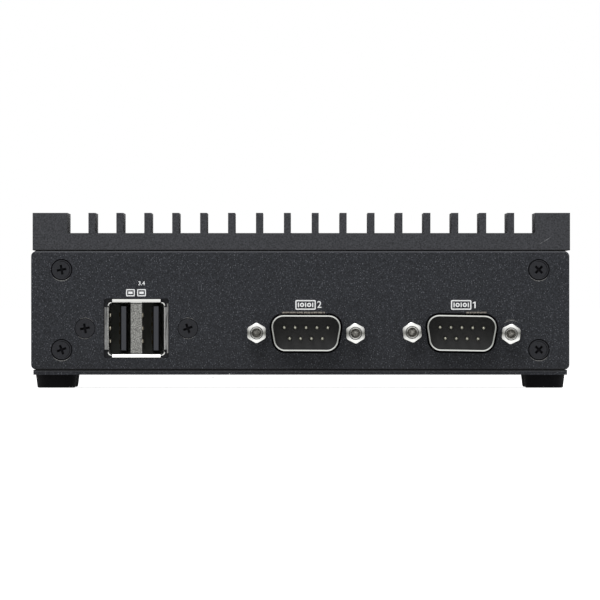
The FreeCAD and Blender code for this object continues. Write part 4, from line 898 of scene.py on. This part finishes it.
def serial_sign(mesh):
    """The usual sign of a serial port: bars and rings in a frame."""
    signs = bmesh.new()
    for x in (-1.8, 0.0, 1.8):
        bar(signs, x - 0.14, x + 0.14, -0.58, 0.58)
    for x in (-0.9, 0.9):
        ring(signs, x, 0, 0.54, 0.3)
    outline_box(mesh, 5.15, 2.44, 0.3, 0.32)
    join(mesh, signs)


def usb_sign(mesh):
    """Two upright ports in a row."""
    for x in (-1.4, 1.4):
        port = bmesh.new()
        outline_box(port, 2.2, 1.8, 0.26, 0.2)
        bar(port, -0.55, 0.55, -0.3, 0.3)
        bmesh.ops.translate(port, vec=(x, 0, 0), verts=port.verts)
        join(mesh, port)


def figure_one(mesh):
    """A figure 1 with a short flag."""
    bar(mesh, -0.02, 0.3, -0.82, 0.82)
    flag = ((-0.42, 0.3), (-0.02, 0.52), (-0.02, 0.82), (-0.42, 0.56))
    mesh.faces.new([mesh.verts.new((x, 0, z)) for x, z in flag])


def number(name, text, x, z, height):
    """A plain number printed on the front panel, of that height in millimetres."""
    size_to_height, half_thickness, heavier = 1.37, 0.005 * MM, 0.01 * MM
    curve = bpy.data.curves.new(name, "FONT")
    curve.body = text
    curve.size = height * size_to_height * MM
    curve.align_x, curve.align_y = "CENTER", "CENTER"
    curve.extrude = half_thickness
    curve.offset = heavier
    writing = bpy.data.objects.new(name, curve)
    bpy.context.scene.collection.objects.link(writing)
    bpy.context.view_layer.update()
    mesh = bmesh.new()
    mesh.from_mesh(bpy.data.meshes.new_from_object(writing))
    bpy.data.objects.remove(writing)
    spot = Vector((x, FACE_Y - half_thickness, z))
    bmesh.ops.transform(mesh, matrix=facing(spot, FRONT), verts=mesh.verts)
    return piece(name, mesh, "powder_coat", INK, smooth=0)


def add_print():
    """The signs and numbers above the three front ports."""
    com1, com2, usb = middle("com1_shell"), middle("com2_shell"), middle("usb_front_shell")
    sign_z = com2.z + 7.14 * MM
    flat_print("com2_sign", serial_sign, com2.x - 0.12 * MM, sign_z)
    flat_print("com1_sign", serial_sign, com1.x - 0.3 * MM, sign_z)
    number("com2_number", "2", com2.x + 3.35 * MM, sign_z, 1.75)
    flat_print("com1_number", figure_one, com1.x + 3.05 * MM, sign_z)
    flat_print("usb_sign", usb_sign, usb.x - 0.1 * MM, usb.z + 9.0 * MM)
    number("usb_numbers", "3.4", usb.x + 1.3 * MM, usb.z + 11.35 * MM, 1.05)


for serial_port in ("com1", "com2"):
    add_serial_shell(serial_port)
    add_serial_pins(serial_port)
add_screwlocks("com1", (8, -4))
add_screwlocks("com2", (0, 3))
add_feet()
add_port_springs()
add_print()
add_screw_rings()
add_rub_marks()
add_port_corners()
add_cutout_edges()
add_screw_crosses()
add_cover_nick()
add_scratch()


# Floor, light and camera

def seen_or_mirrored(tree):
    """1 for what is seen directly, in a mirror or through glass, 0 for what only lights the object."""
    nodes, links = tree.nodes, tree.links
    path = nodes.new("ShaderNodeLightPath")
    seen = path.outputs["Is Camera Ray"]
    for ray in ("Is Glossy Ray", "Is Transmission Ray"):
        either = nodes.new("ShaderNodeMath")
        either.operation = "MAXIMUM"
        links.new(seen, either.inputs[0])
        links.new(path.outputs[ray], either.inputs[1])
        seen = either.outputs[0]
    return seen


def add_floor():
    """A white floor that takes the object's shadow and fades into the world behind it."""
    half_width = 60
    mesh = bmesh.new()
    bmesh.ops.create_grid(mesh, x_segments=1, y_segments=1, size=half_width)
    data = bpy.data.meshes.new("floor")
    mesh.to_mesh(data)
    mesh.free()
    floor = bpy.data.objects.new("floor", data)
    bpy.context.scene.collection.objects.link(floor)
    material = bpy.data.materials.new("pale_floor")
    material.use_nodes = True
    tree = material.node_tree
    nodes, links = tree.nodes, tree.links
    nodes.clear()
    # what only lights the object meets plain cloth, and what is seen is the paler floor
    cloth = nodes.new("ShaderNodeBsdfDiffuse")
    cloth.inputs["Color"].default_value = (0.8, 0.8, 0.8, 1)
    thin = nodes.new("ShaderNodeBsdfDiffuse")
    thin.inputs["Color"].default_value = (0.5, 0.5, 0.5, 1)
    glow = nodes.new("ShaderNodeEmission")
    glow.inputs["Strength"].default_value = 0.8
    both = nodes.new("ShaderNodeAddShader")
    pick = nodes.new("ShaderNodeMixShader")
    out = nodes.new("ShaderNodeOutputMaterial")
    links.new(thin.outputs[0], both.inputs[0])
    links.new(glow.outputs[0], both.inputs[1])
    links.new(seen_or_mirrored(tree), pick.inputs[0])
    links.new(cloth.outputs[0], pick.inputs[1])
    links.new(both.outputs[0], pick.inputs[2])
    links.new(pick.outputs[0], out.inputs["Surface"])
    data.materials.append(material)


def add_world():
    """White all round: at full strength where it is seen, and dimmer where it only lights the object."""
    lighting, seen = 0.55, 1.0
    world = bpy.data.worlds.new("studio")
    bpy.context.scene.world = world
    world.use_nodes = True
    tree = world.node_tree
    background = tree.nodes["Background"]
    strength = tree.nodes.new("ShaderNodeMix")
    strength.data_type = "FLOAT"
    strength.inputs[2].default_value = lighting
    strength.inputs[3].default_value = seen
    background.inputs["Color"].default_value = (1, 1, 1, 1)
    tree.links.new(seen_or_mirrored(tree), strength.inputs[0])
    tree.links.new(strength.outputs[0], background.inputs["Strength"])


def add_lamp(name, spot, power):
    """A round soft lamp that looks at the lower part of the object."""
    target = Vector((0, 0, 20 * MM))
    light = bpy.data.lights.new(name, "AREA")
    light.shape = "DISK"
    light.size = 0.9
    light.energy = power
    lamp = bpy.data.objects.new(name, light)
    lamp.location = spot
    lamp.rotation_euler = (target - Vector(spot)).to_track_quat("-Z", "Y").to_euler()
    bpy.context.scene.collection.objects.link(lamp)


def add_camera():
    """A long lens level with the middle of the front panel."""
    camera = bpy.data.cameras.new("camera")
    camera.sensor_width = 36
    distance, wide, across, up = 7.0, 151.6 * MM, -0.06 * MM, 22.19 * MM
    camera.lens = camera.sensor_width * distance / wide
    camera.clip_end = 100
    eye = bpy.data.objects.new("camera", camera)
    eye.location = (across, FACE_Y - distance, up)
    eye.rotation_euler = (math.pi / 2, 0, 0)
    bpy.context.scene.collection.objects.link(eye)
    bpy.context.scene.camera = eye


add_camera()
add_world()
add_floor()
add_lamp("key_lamp", spot=(-0.25, -0.9, 1.1), power=14)
add_lamp("rear_lamp", spot=(0.3, 0.9, 1.0), power=8)
bpy.context.scene.view_settings.view_transform = "Standard"
